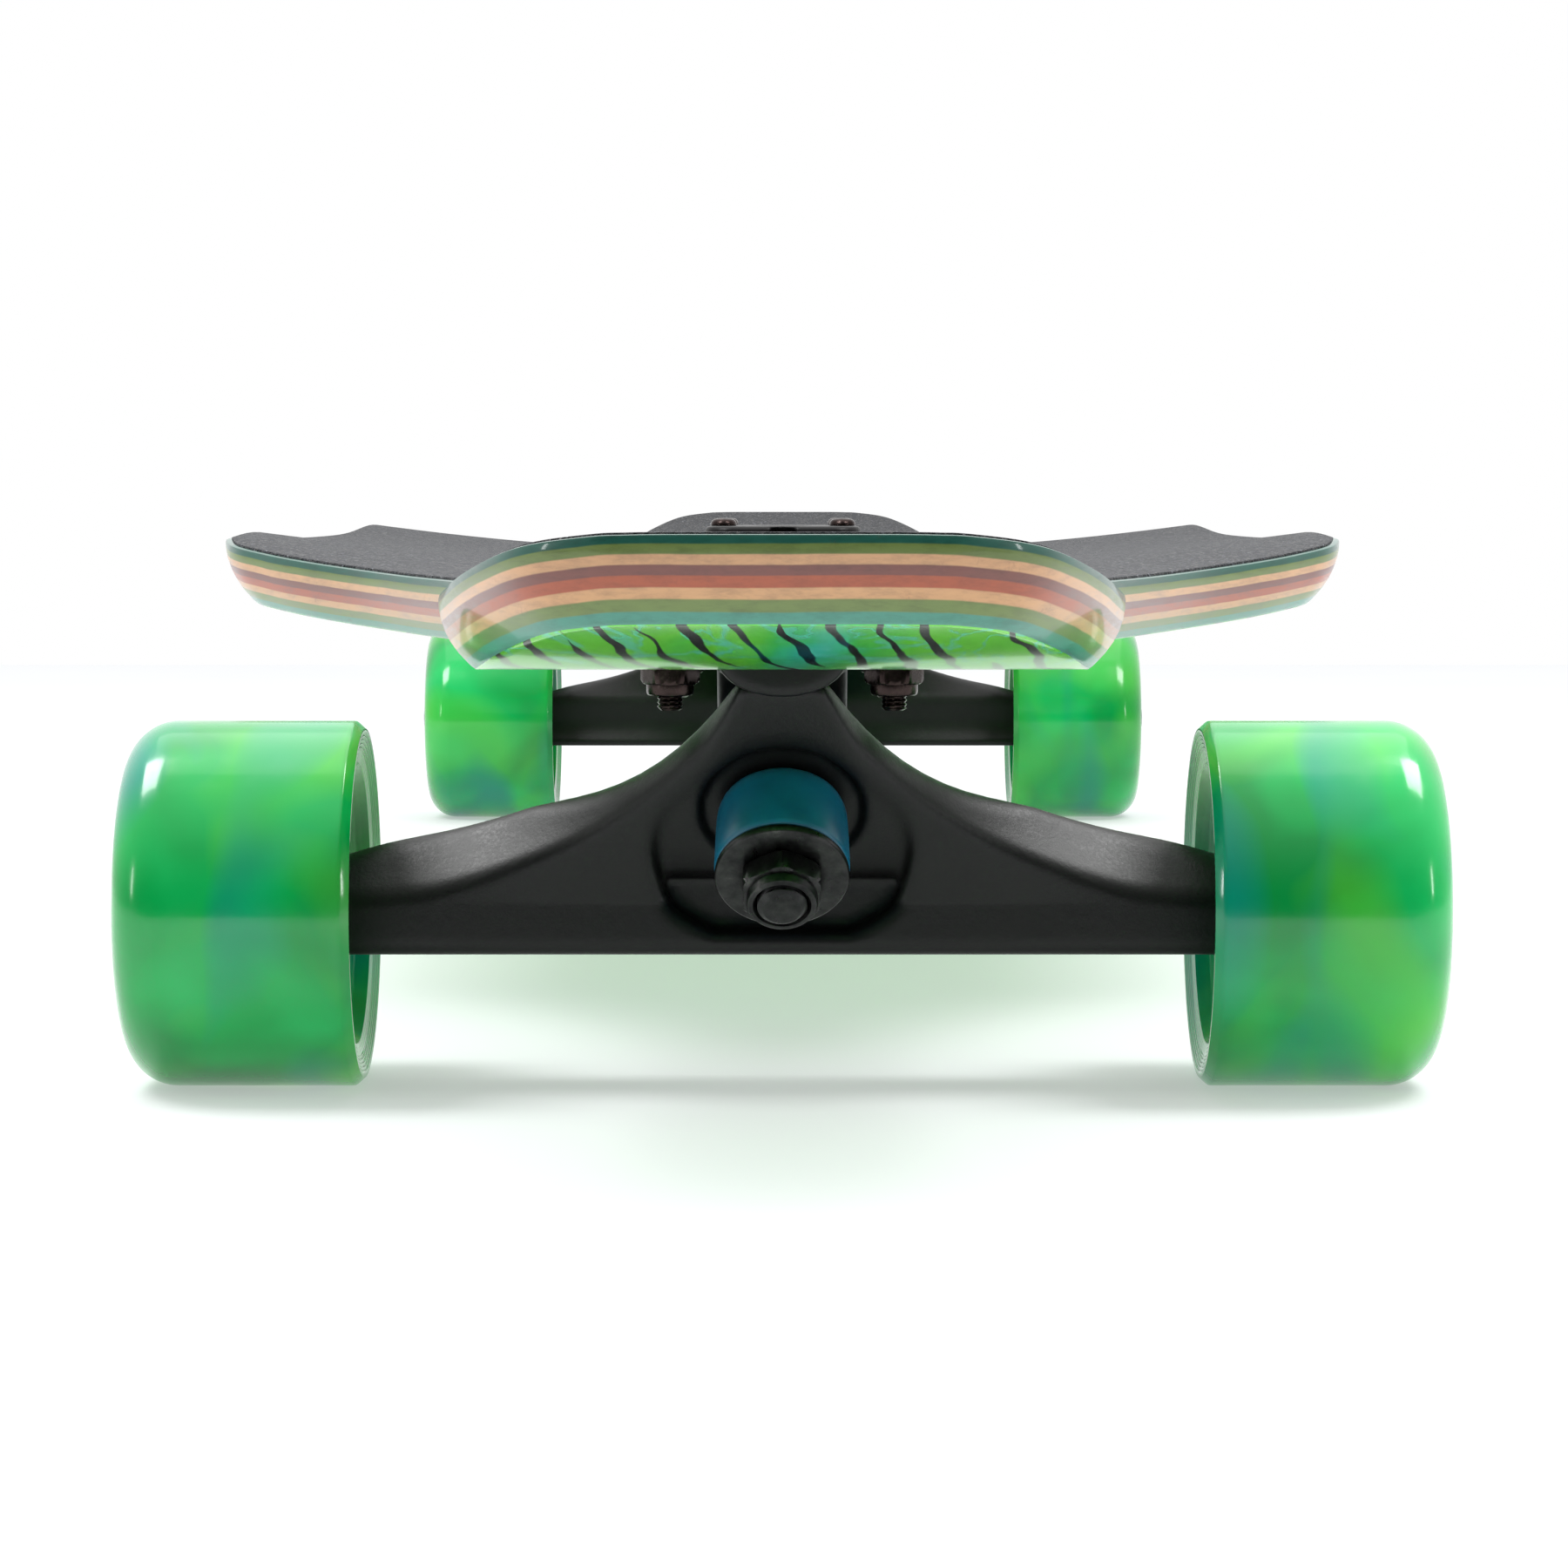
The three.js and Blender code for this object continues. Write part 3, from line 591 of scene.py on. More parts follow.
def add_camera():
    data = bpy.data.cameras.new("camera")
    data.lens = CAMERA_LENS
    data.sensor_width = CAMERA_SENSOR
    camera = bpy.data.objects.new("camera", data)
    camera.location = Vector((CAMERA_X, -AXLE_Y - CAMERA_BEFORE_AXLE, CAMERA_HEIGHT)) * MM
    camera.rotation_euler = (math.pi / 2 - CAMERA_PITCH, 0, 0)
    bpy.context.scene.collection.objects.link(camera)
    bpy.context.scene.camera = camera


def add_world():
    """A room that is white where it is seen directly, and otherwise dark below and in front."""
    world = bpy.data.worlds.new("studio")
    bpy.context.scene.world = world
    world.use_nodes = True
    nodes = world.node_tree.nodes
    links = world.node_tree.links
    background = nodes["Background"]
    background.inputs["Color"].default_value = (1, 1, 1, 1)

    direction = nodes.new("ShaderNodeTexCoord").outputs["Generated"]
    towards = nodes.new("ShaderNodeVectorMath")
    towards.operation = "DOT_PRODUCT"
    towards.inputs[1].default_value = BRIGHTEST
    links.new(direction, towards.inputs[0])
    ramp = nodes.new("ShaderNodeMapRange")
    ramp.interpolation_type = "SMOOTHSTEP"
    limits = {"From Min": -0.6, "From Max": 1.0, "To Min": 0.03, "To Max": 1.3}
    for socket, value in limits.items():
        ramp.inputs[socket].default_value = value
    links.new(towards.outputs["Value"], ramp.inputs["Value"])

    pick = nodes.new("ShaderNodeMix")
    links.new(nodes.new("ShaderNodeLightPath").outputs["Is Camera Ray"], pick.inputs[0])
    links.new(ramp.outputs[0], pick.inputs[2])
    pick.inputs[3].default_value = 1.0
    links.new(pick.outputs[0], background.inputs["Strength"])


def add_plane(name, width, place, look):
    bpy.ops.mesh.primitive_plane_add(size=width, location=place)
    plane = bpy.context.object
    plane.name = name
    plane.data.materials.append(look.material)
    return plane


def add_floor():
    look = Look("floor", roughness=0.8, specular_ior_level=0.0, emission_strength=0.4)
    paper = look.noise(2, 3)
    greys = ((0.3, (0.51, 0.52, 0.532, 1)), (0.7, (0.53, 0.538, 0.546, 1)))
    look.set("Base Color", look.ramp(paper, greys))
    look.set("Emission Color", look.ramp(paper, ((0.3, (0.98, 0.99, 1, 1)), (0.7, (1, 1, 1, 1)))))
    add_plane("studio_floor", FLOOR_WIDTH, (0, 0, 0), look)


def add_black_card():
    """A card on the floor before the board, which only glossy reflections show."""
    look = Look("black_card", roughness=0.9, specular_ior_level=0.1)
    blacks = ((0.3, rgb(12, 12, 12)), (0.7, rgb(18, 18, 18)))
    look.set("Base Color", look.ramp(look.noise(3, 2), blacks))
    card = add_plane("black_card", CARD_WIDTH, CARD_PLACE, look)
    for ray in ("camera", "diffuse", "shadow", "transmission"):
        setattr(card, f"visible_{ray}", False)


def add_softbox(name, place, aim, size, power):
    data = bpy.data.lights.new(name, "AREA")
    data.shape = "RECTANGLE"
    data.size, data.size_y = size
    data.energy = power
    lamp = bpy.data.objects.new(name, data)
    lamp.location = place
    lamp.rotation_euler = (Vector(aim) - Vector(place)).to_track_quat("-Z", "Y").to_euler()
    bpy.context.scene.collection.objects.link(lamp)


def add_lights():
    """A large soft box overhead, and on each side one above the front truck and a low thin one."""
    add_softbox("overhead", (0, 0.6, 1.8), (0, 0.1, 0), (1.8, 1.8), 9)
    for side, name in ((-1, "left"), (1, "right")):
        top, strip = (side * 0.5, -0.24, 0.85), (side * 1.3, -0.9, 0.32)
        add_softbox(f"{name}_top", top, (side * 0.06, -0.36, 0.05), (0.4, 0.4), 6.5)
        add_softbox(f"{name}_strip", strip, (side * 0.1, -0.36, 0.04), (0.08, 0.3), 1.2)


# ------------------------------ Deck


def nose_rise(y):
    """How far the nose and the tail have bent up at this distance along the board."""
    return np.maximum(np.abs(y) - AXLE_Y - NOSE_RISE_START, 0) ** 2 / (2 * NOSE_RISE_RADIUS)


def concave(x, y):
    """How far the deck's sides are bent up between the trucks, a little more at the shoulders."""
    across = np.maximum(np.abs(x) - FLAT_HALF_WIDTH, 0) / (FULL_HALF_WIDTH - FLAT_HALF_WIDTH)
    inboard = smooth_step(AXLE_Y - np.abs(y), 40, 170)
    flare = np.exp(-(((np.abs(y) - FLARE_PLACE) / FLARE_SPREAD) ** 2))
    return (CONCAVE_DEPTH * inboard + FLARE_DEPTH * flare * inboard) * across**1.5


def deck_height(x, y, layer):
    return DECK_UNDERSIDE + layer + nose_rise(y) + concave(x, y)


def side_outline():
    """The right side of the deck, from its rear end to its front end."""
    end = catmull_rom([(NOSE_HALF_WIDTH * share, TIP_Y - back) for back, share in NOSE_END], 5)
    straight = [(NOSE_HALF_WIDTH, AXLE_Y + NOSE_RISE_START / 3)]
    spread = FULL_HALF_WIDTH - NOSE_HALF_WIDTH
    knots = [straight[-1], *((NOSE_HALF_WIDTH + spread * share, AXLE_Y + out) for out, share in SHOULDER)]
    sweep = catmull_rom(knots, 8)[1:]
    middle = [(FULL_HALF_WIDTH, y) for y in np.linspace(sweep[-1][1], 0, 16)[1:]]
    rear = end + straight + sweep + middle
    return np.array(rear + [(x, -y) for x, y in rear[-2::-1]])


def inset(outline, distance):
    """The outline moved in by a distance. Its two ends move straight in along the board."""
    along = np.gradient(outline, axis=0)
    along[0], along[-1] = (1, 0), (-1, 0)
    along /= np.linalg.norm(along, axis=1)[:, None]
    return outline + distance * np.stack([along[:, 1], -along[:, 0]], 1)


def face_points(outline, shares, layer):
    """The points of a face, in a row across the board for each point of the outline."""
    points = [(share * x, y) for x, y in outline for share in shares]
    return [(x, y, float(deck_height(x, y, layer))) for x, y in points]


def rim_points(outline, shares, layer):
    """The points round the whole board, in the order in which face_rim goes round a face."""
    (rear_x, rear_y), (front_x, front_y) = outline[0], outline[-1]
    edge = [(share * rear_x, rear_y) for share in shares[:-1]]
    edge += [(x, y) for x, y in outline[:-1]]
    edge += [(share * front_x, front_y) for share in shares[:0:-1]]
    edge += [(-x, y) for x, y in outline[:0:-1]]
    return [(x, y, float(deck_height(x, y, layer))) for x, y in edge]


def face_rim(start, rows, columns):
    """The numbers of the points on the rim of a face that starts at this number."""
    width = columns + 1
    last = start + (rows - 1) * width
    rim = [start + j for j in range(columns)]
    rim += [start + i * width + columns for i in range(rows - 1)]
    rim += [last + j for j in range(columns, 0, -1)]
    return rim + [start + i * width for i in range(rows - 1, 0, -1)]


def sheet(name, rims, columns=36):
    """A closed sheet over the deck's outline, with a rim of (inset, layer) for each step from top to foot."""
    outline = side_outline()
    shares = np.linspace(-1, 1, columns + 1)
    rows = len(outline)
    vertices = []
    faces = []
    for distance, layer in (rims[0], rims[-1]):
        vertices += face_points(inset(outline, distance), shares, layer)
    top, bottom = 0, len(vertices) // 2
    for i in range(rows - 1):
        for j in range(columns):
            a = i * (columns + 1) + j
            quad = (a, a + columns + 1, a + columns + 2, a + 1)
            faces.append(tuple(top + k for k in quad))
            faces.append(tuple(bottom + k for k in reversed(quad)))

    rings = [face_rim(top, rows, columns)]
    for distance, layer in rims[1:-1]:
        edge = rim_points(inset(outline, distance), shares, layer)
        rings.append(range(len(vertices), len(vertices) + len(edge)))
        vertices += edge
    rings.append(face_rim(bottom, rows, columns))
    for upper, lower in zip(rings, rings[1:]):
        for k in range(len(upper)):
            n = (k + 1) % len(upper)
            faces.append((upper[k], upper[n], lower[n], lower[k]))
    return add_object(name, vertices, faces)


def rounded_rectangle(half_x, low_y, high_y, radius, steps=8):
    corners = ((half_x, low_y, -0.5), (half_x, high_y, 0), (-half_x, high_y, 0.5), (-half_x, low_y, 1))
    points = []
    for x, y, quarter in corners:
        cx, cy = x - math.copysign(radius, x), y + (radius if y == low_y else -radius)
        for a in np.linspace(quarter * math.pi, (quarter + 0.5) * math.pi, steps):
            points.append((cx + radius * math.cos(a), cy + radius * math.sin(a)))
    return points


def circle(x, y, radius, count=16):
    angles = np.arange(count) * math.pi / (count / 2)
    return [(x + radius * math.cos(a), y + radius * math.sin(a)) for a in angles]


def cut_mounts(piece):
    """Cuts both trucks' openings and bolt holes through a sheet."""
    outlines = [rounded_rectangle(14.45, -40, 34.5, 4)]
    outlines += [circle(x, y, BOLT_HOLE_RADIUS) for x, y in BOLTS.values()]
    vertices, faces = [], []
    for turn in (1, -1):
        for outline in outlines:
            start, count = len(vertices), len(outline)
            for z in (60, 130):
                vertices.extend((turn * x, turn * (y - AXLE_Y), z) for x, y in outline)
            faces.append([start + i for i in reversed(range(count))])
            faces.append([start + count + i for i in range(count)])
            for i in range(count):
                j = (i + 1) % count
                faces.append((start + i, start + j, start + count + j, start + count + i))
    cutter = add_object("cutter", vertices, faces)
    cut = piece.modifiers.new("mounts", "BOOLEAN")
    cut.operation = "DIFFERENCE"
    cut.solver = "EXACT"
    cut.object = cutter
    evaluated = piece.evaluated_get(bpy.context.evaluated_depsgraph_get())
    mesh = bpy.data.meshes.new_from_object(evaluated)
    piece.modifiers.clear()
    piece.data = mesh
    bpy.data.objects.remove(cutter)
    return piece


def make_deck():
    """The laminate, whose layer attribute runs from 0 on its underside to 1 on its top, and the grip tape."""
    deck = cut_mounts(sheet("deck_laminate", EDGE))
    points = np.array([v.co for v in deck.data.vertices]) / MM
    layer = (points[:, 2] - deck_height(points[:, 0], points[:, 1], 0)) / DECK_THICKNESS
    attribute = deck.data.attributes.new("layer", "FLOAT", "POINT")
    attribute.data.foreach_set("value", np.clip(layer, 0, 1).astype(np.float32))
    deck.data.set_sharp_from_angle(angle=math.radians(40))
    settle(deck, "deck", "deck_wood", "deck")

    foot = DECK_THICKNESS + 0.02
    rims = ((1.7, foot + GRIP_THICKNESS), (1.45, foot + 0.8 * GRIP_THICKNESS), (1.35, foot))
    grip = cut_mounts(sheet("grip_sheet", rims))
    grip.data.set_sharp_from_angle(angle=math.radians(50))
    settle(grip, "deck", "grip", "grip_tape")


# ------------------------------ Truck castings


def mirrored(right):
    """A closed outline from its right half."""
    return right + [(-a, b) for a, b in right[::-1]]


def hanger_outline(grid):
    """The hanger seen from its front: a bar whose top sweeps up to the neck."""
    arch = quadratic((48.3, 19.9), (25, 19.9), (9, 42.5))
    right = [(90, -9.3), (90, 9.0), (84, 9.0), (48.3, 19.9), *arch, (8.0, 43.4)]
    return polygon_distance(mirrored(right), np.abs(grid.x), grid.z)


def hanger_front(grid):
    """The front face, which leans with the ring near the middle and is bevelled above a curved crease."""
    x, y, z = np.abs(grid.x), grid.y, grid.z
    low_crease = [(28.5, 19.2), (43, 11.2), (64, 4), (81, 2), (92, 1.7)]
    crease_points = catmull_rom([(0, 60), (12, 35), (18.7, 27.2), *low_crease], 12)
    crease = np.interp(x, *zip(*crease_points))
    lean = 1 - smooth_step(x, 15, 72)
    web = -10 - 0.5835 * np.maximum(z - 1, 0) * lean
    bevel = web + 1.15 * (z - crease)
    return smooth_max(web - y, (bevel - y) / 1.25, 2.2)


def hanger_back(grid):
    """The back face, sloped behind the axle and square to the kingpin behind the ring."""
    slope = Vector((0, 13, 11.5)).normalized()
    low_back = smooth_max(grid.y - 9.5, grid.along(Vector((0, 9.5, 8)), slope), 2)
    ring_back = -4 - grid.along(RING_CENTRE, OUTWARDS)
    return smooth_min(low_back, ring_back, 3)


def hanger_recess(grid):
    """A pear-shaped hollow round the bushing, deeper at its foot."""
    low_half = [(13, -4.5), (20.5, 0), (23.3, 6.5), (24.1, 13.5)]
    half = catmull_rom([*low_half, (21, 20), (12.1, 26), (6, 30.7), (0, 31.7)])
    pear = polygon_distance(mirrored(half), np.abs(grid.x), grid.z)
    floor = 2.5 - grid.along(RING_CENTRE, OUTWARDS)
    deep = smooth_max(grid.z - 5.5, grid.y + 4.9, 1)
    return smooth_max(pear, smooth_min(smooth_max(floor, grid.y + 6.5, 2), deep, 2), 2.5)


def hanger_mesh():
    """The hanger: a bar for the axle, a ring for the bushings, and a stub that turns in the pivot cup."""
    grid = Field((-92, -40, -12), (92, 26, 46), 0.75)
    body = smooth_max(hanger_outline(grid), hanger_front(grid), 3.2)
    body = smooth_max(body, hanger_back(grid), 3.2)
    body = smooth_max(body, -hanger_recess(grid), 3)
    roadside_seat = grid.rod(RING_CENTRE, OUTWARDS, 15.1, 0.3, 45, 1)
    boardside_seat = grid.rod(RING_CENTRE, OUTWARDS, 14.2, -70, -4, 0.5)
    cup_room = grid.rod(PIVOT_TIP, STEERING, 11.6, -5.2, 60)
    stub = grid.rod(PIVOT_TIP, STEERING, 4.9, -18, 2.0, 2)
    ring_hole = grid.rod(RING_CENTRE, OUTWARDS, 8.5, -20, 20)
    axle_bore = grid.from_line(Vector(), ALONG_AXLE) - 4.25
    body = smooth_max(body, -roadside_seat, 2.2)
    body = smooth_max(body, -boardside_seat, 1)
    body = smooth_max(body, -cup_room, 1)
    body = smooth_min(body, stub, 2)
    body = np.maximum(body, -ring_hole)
    body = np.maximum(body, -axle_bore)
    return grid.surface("hanger", body)


def baseplate_body(grid):
    """The part that passes through the deck, with a rounded lip in front and a housing for the pivot cup."""
    x, y, z = np.abs(grid.x), grid.y, grid.z
    side_view = [
        (-36.3, 66), (-36.3, 45.5), (-12.4, 45.5), (7.2, 22.2), (10, 19.5), (18.5, 11.5),
        (27, 5), (31, 12), (33, 28), (33, 66),
    ]
    body = smooth_max(polygon_distance(side_view, y, z), x - 12.35, 1.6)
    bowl = np.sqrt((x / 11.9) ** 2 + (np.minimum(z - 48.2, 0) / 7.0) ** 2) * 7.0 - 7.0
    bowl = np.maximum(bowl, x - 11.9)
    lip = smooth_max(smooth_max(bowl, np.abs(y + 37.2) - 1.5, 1.4), z - 66, 1)
    body = smooth_min(body, lip, 0.6)
    housing = grid.rod(PIVOT_TIP, STEERING, 9.8, -4, 7.5, 2.5)
    return smooth_min(body, housing, 4)


def baseplate_flange(grid):
    half = FLANGE_THICKNESS / 2
    plan = polygon_distance(rounded_rectangle(27, -42.5, 37, 9), grid.x, grid.y)
    return smooth_max(plan, np.abs(grid.z - (FLANGE_LOW + half)) - half, 1.6)


def baseplate_pocket(grid):
    """The hollow that is open at the top."""
    pocket_view = [(-1.5, 80), (-1.5, 44.7), (10.8, 29.9), (23, 40.5), (23, 80)]
    return smooth_max(polygon_distance(pocket_view, grid.y, grid.z), np.abs(grid.x) - 9.3, 3)


def baseplate_mesh():
    """The baseplate: a flange on top of the deck and a body through it for the kingpin and the pivot cup."""
    grid = Field((-29, -45, -14), (29, 40, 71), 0.75)
    body = smooth_min(baseplate_body(grid), baseplate_flange(grid), 1.2)
    body = smooth_max(body, -baseplate_pocket(grid), 1.2)
    washer_seat = grid.rod(RING_CENTRE, OUTWARDS, 14.2, -19.1, 60, 0.5)
    kingpin_bore = grid.from_line(RING_CENTRE, OUTWARDS) - 4.95
    cup_bore = grid.rod(PIVOT_TIP, STEERING, 7.5, -14, 4.8)
    lowest = -11
    body = smooth_max(body, -washer_seat, 0.8)
    body = np.maximum(body, -kingpin_bore)
    body = smooth_max(body, -cup_bore, 0.6)
    body = smooth_max(body, lowest - grid.z, 1.5)
    for x, y in BOLTS.values():
        body = np.maximum(body, -(grid.from_line(Vector((x, y, 0)), UP) - BOLT_HOLE_RADIUS))
    return grid.surface("baseplate", body)


def core_mesh():
    """A wheel's moulded core on the +X end of an axle, with a ring of small pockets in each face."""
    grid = Field((89.5, -18.5, -18.5), (117.5, 18.5, 18.5), 0.45)
    x = grid.x
    middle = 103.5
    radius = np.sqrt(grid.y**2 + grid.z**2)
    core = smooth_max(radius - 17, np.abs(x - middle) - 12.5, 0.8)
    seats = np.maximum(radius - 11.05, 5 - np.abs(x - middle))
    core = np.maximum(core, -seats)
    core = np.maximum(core, 9.4 - radius)
    angle = np.arctan2(grid.z, grid.y)
    pitch = 2 * math.pi / 12
    arc = ((angle + pitch / 2) % pitch - pitch / 2) * radius
    pocket = smooth_max(np.abs(radius - 14) - 1.7, np.abs(arc) - 2.5, 1)
    pocket = smooth_max(pocket, 9.5 - np.abs(x - middle), 0.6)
    return grid.surface("core", smooth_max(core, -pocket, 0.5))


# ------------------------------ Truck hardware


def make_bolt(name, x, y):
    """A pan-head bolt with a hexagonal socket, and a thread where it stands out of its nut."""
    low = 38.5
    head = FLANGE_HIGH + 0.05
    rings = [(0.01, low), (1.7, low)]
    rings += [(thread(2.4, low + h), low + h) for h in np.arange(0.35, 10, 0.1)]
    rings += [(2.4, low + 10.5), (2.4, head)]
    rings += [(4.3, head), (4.5, head + 0.3), (4.45, head + 1.1), (4.0, head + 1.9)]
    rings += [(3.2, head + 2.4), (hexagon(3.2), head + 2.5), (hexagon(3.1), head + 0.9), (0.01, head + 0.9)]
    return revolved(name, rings, Vector((x, y, 0)), UP, 72)


def make_locknut(name, origin, direction, flats, start, height, bore, segments=96):
    """A lock nut with chamfered corners and a round nylon collar."""
    corner = flats / math.sqrt(3)
    top = start + 0.7 * height
    rings = [
        (bore, start), (0.86 * corner, start), (hexagon_within(flats, 0.93 * corner), start + 0.25),
        (hexagon(flats), start + 0.9), (hexagon(flats), top - 0.9),
        (hexagon_within(flats, 0.93 * corner), top - 0.3), (0.86 * corner, top - 0.05), (0.8 * corner, top),
        (0.8 * corner, start + 0.9 * height), (0.77 * corner, start + 0.97 * height),
        (0.72 * corner, start + height),
        (bore + 0.5, start + height), (bore + 0.3, start + 0.95 * height), (bore, start + 0.9 * height),
    ]
    return revolved(name, rings, origin, direction, segments, 28)


def make_kingpin(name):
    """The kingpin bolt: a hexagonal head in the baseplate, and a threaded end with a domed tip."""
    flats = 14.3
    rings = [(0.01, -32.9), (0.4 * flats, -32.9)]
    rings += [(hexagon_within(flats, 7.7), -32.6), (hexagon(flats), -31.8)]
    rings += [(hexagon(flats), -27.2), (hexagon_within(flats, 7.6), -26.9)]
    rings += [(KINGPIN_RADIUS, -26.9), (KINGPIN_RADIUS, 13)]
    rings += [(thread(KINGPIN_RADIUS, s, 1.3, 0.55), s) for s in np.arange(13.1, 27.2, 0.13)]
    rings += [(4.0, 27.45), (3.6, 27.75), (3.3, 27.9), (1.2, 27.75), (0.01, 27.7)]
    return revolved(name, rings, RING_CENTRE, OUTWARDS, 96, 40)


def make_washer(name, start):
    """A flat washer with turned edges, 2 mm thick, on the kingpin."""
    rings = [(WASHER_BORE, start), (12.1, start), (12.4, start + 0.25)]
    rings += [(12.5, start + 0.6), (12.5, start + 1.5)]
    rings += [(12.35, start + 1.85), (12.0, start + 2), (5.3, start + 2), (WASHER_BORE, start + 1.8)]
    return revolved(name, rings, RING_CENTRE, OUTWARDS, 128, 60)


def make_bushing(name, seat, washer):
    """Urethane, bulged a little by the load, with a rounded shoulder at the hanger's ring."""
    length = washer - seat
    shape = (
        (WASHER_BORE, 0), (9.4, 0), (10.8, 0.04), (11.7, 0.1), (12.15, 0.18), (12.32, 0.28),
        (12.45, 0.5), (12.56, 0.75), (12.62, 0.93), (12.5, 0.975), (12.1, 1), (WASHER_BORE, 1),
    )
    rings = [(radius, seat + share * length) for radius, share in shape]
    return revolved(name, rings if length > 0 else rings[::-1], RING_CENTRE, OUTWARDS, 128, 70)


def make_wheel_tyre(name):
    """The poured urethane: a flat tread, a large outer lip, a small inner one and a ribbed cone."""
    tread_radius = 35
    tread_end = 115.5
    core_radius = 17.05
    inner = [(core_radius, 91.5), (18.6, 90.9), (19.8, 90)]
    ribs = []
    for radius in np.arange(20.4, 32.6, 0.15):
        cone = np.interp(radius, (19.8, 25.5, 27, 30, 33), (90, 84.2, 81.6, 81.0, 80.15))
        depth = 0.12 if radius > 29.4 else 0.03
        ribs.append((radius, cone - depth * abs(math.sin(math.pi * radius / 0.75)) ** 0.6))
    lip = [(33.0, 80.0), (33.5, 80.05), (34.75, 81.4), (34.95, 81.75), (tread_radius, 82.3)]
    tread = [(tread_radius, x) for x in (88, 96, 104, 112, tread_end)]
    round_by = 9.5
    shoulder = [
        (tread_radius - round_by * (1 - math.cos(angle)), tread_end + round_by * math.sin(angle))
        for angle in np.linspace(0, math.pi / 2, 18)[1:]
    ]
    face = [(24.6, 124.95), (23, 124.6), (21.6, 123.9), (19.6, 122.2)]
    face += [(18.2, 119.2), (17.6, 116.6), (core_radius, tread_end)]
    return revolved(name, inner + ribs + lip + tread + shoulder + face, Vector(), ALONG_AXLE, 160, 32)


def make_rings(name, start, parts):
    """Turned rings about the axle, each (inner radius, outer radius, first x, last x), with eased edges."""
    made = []
    ease = 0.18
    for k, (small, large, low, high) in enumerate(parts):
        rings = [
            (small + ease, start + low), (large - ease, start + low), (large, start + low + ease),
            (large, start + high - ease), (large - ease, start + high), (small + ease, start + high),
            (small, start + high - ease), (small, start + low + ease),
        ]
        made.append(revolved(f"{name}{k or ''}", rings, Vector(), ALONG_AXLE, 96, 30))
    for extra in made[1:]:
        join(made[0], extra)
    return made[0]


def join(target, extra):
    with bpy.context.temp_override(active_object=target, selected_editable_objects=[target, extra]):
        bpy.ops.object.join()


def make_axle(name):
    """A rod with a chamfered, threaded end on each side."""
    half = AXLE_HALF_LENGTH
    rings = [(0.01, -half), (3.2, -half), (3.9, -half + 0.7)]
    rings += [(thread(AXLE_RADIUS, -half + h, 1.0, 0.4), -half + h) for h in np.arange(0.9, 12, 0.1)]
    rings += [(AXLE_RADIUS, -half + 12.3), (AXLE_RADIUS, half - 12.3)]
    rings += [(thread(AXLE_RADIUS, half - h, 1.0, 0.4), half - h) for h in np.arange(12, 0.85, -0.1)]
    rings += [(3.9, half - 0.7), (3.2, half), (0.01, half)]
    return revolved(name, rings, Vector(), ALONG_AXLE, 64, 40)


# ------------------------------ Assembly


def put(place, piece, body, slot, *nodes, finish=None):
    piece.matrix_world = place
    settle(piece, body, slot, *nodes, finish=finish)


def make_bearing(end, where, start, spin, hanger):
    """The outer race and its shields turn with the wheel, and the inner race stays on the axle."""
    wheel = f"{end}_wheel"
    outer_race = make_rings(f"{end}_{where}_outer_race", start, ((9.4, 10.98, 0, BEARING_WIDTH),))
    put(spin, outer_race, wheel, "bearing_steel", f"{end}_{where}_bearing")
    shields = make_rings(f"{end}_{where}_shields", start, ((6.05, 9.35, 0.4, 0.9), (6.05, 9.35, 6.1, 6.6)))
    put(spin, shields, wheel, "pivot_urethane")
    inner_race = make_rings(f"{end}_{where}_inner_race", start, ((4.05, 5.9, 0, BEARING_WIDTH),))
    put(spin, inner_race, hanger, "bearing_steel")


def make_wheel(end, turned, place, hanger, core):
    """One wheel and what holds it on the axle, built on the +X end and turned round for the other."""
    spin = place @ (Matrix.Rotation(math.pi, 4, "Z") if turned else Matrix())
    wheel = f"{end}_wheel"
    urethane = wheel_urethane(f"wheel_urethane_{end}", WHEEL_SEEDS[end])
    tyre = make_wheel_tyre(f"{end}_wheel_urethane")
    put(spin, tyre, wheel, "wheel_urethane", f"{end}_tyre", finish=urethane)
    put(spin, add_casting(f"{end}_wheel_hub", core), wheel, "wheel_core", f"{end}_core")
    for where, start in (("inner", 91.5), ("outer", 108.5)):
        make_bearing(end, where, start, spin, hanger)
    rings = make_rings(f"{end}_speed_rings", 0, ((4.1, 6.2, 90.4, 91.4), (4.1, 6.2, 115.6, 116.6)))
    put(spin, rings, hanger, "axle_steel")
    spacer = make_rings(f"{end}_bearing_spacer", 0, ((4.1, 5.4, 98.6, 108.4),))
    put(spin, spacer, hanger, "axle_steel")
    nut = make_locknut(f"{end}_axle_locknut", Vector(), ALONG_AXLE, 13, 116.7, 6.5, 4.1)
    put(spin, nut, hanger, "deck_hardware", f"{end}_axle_nut")


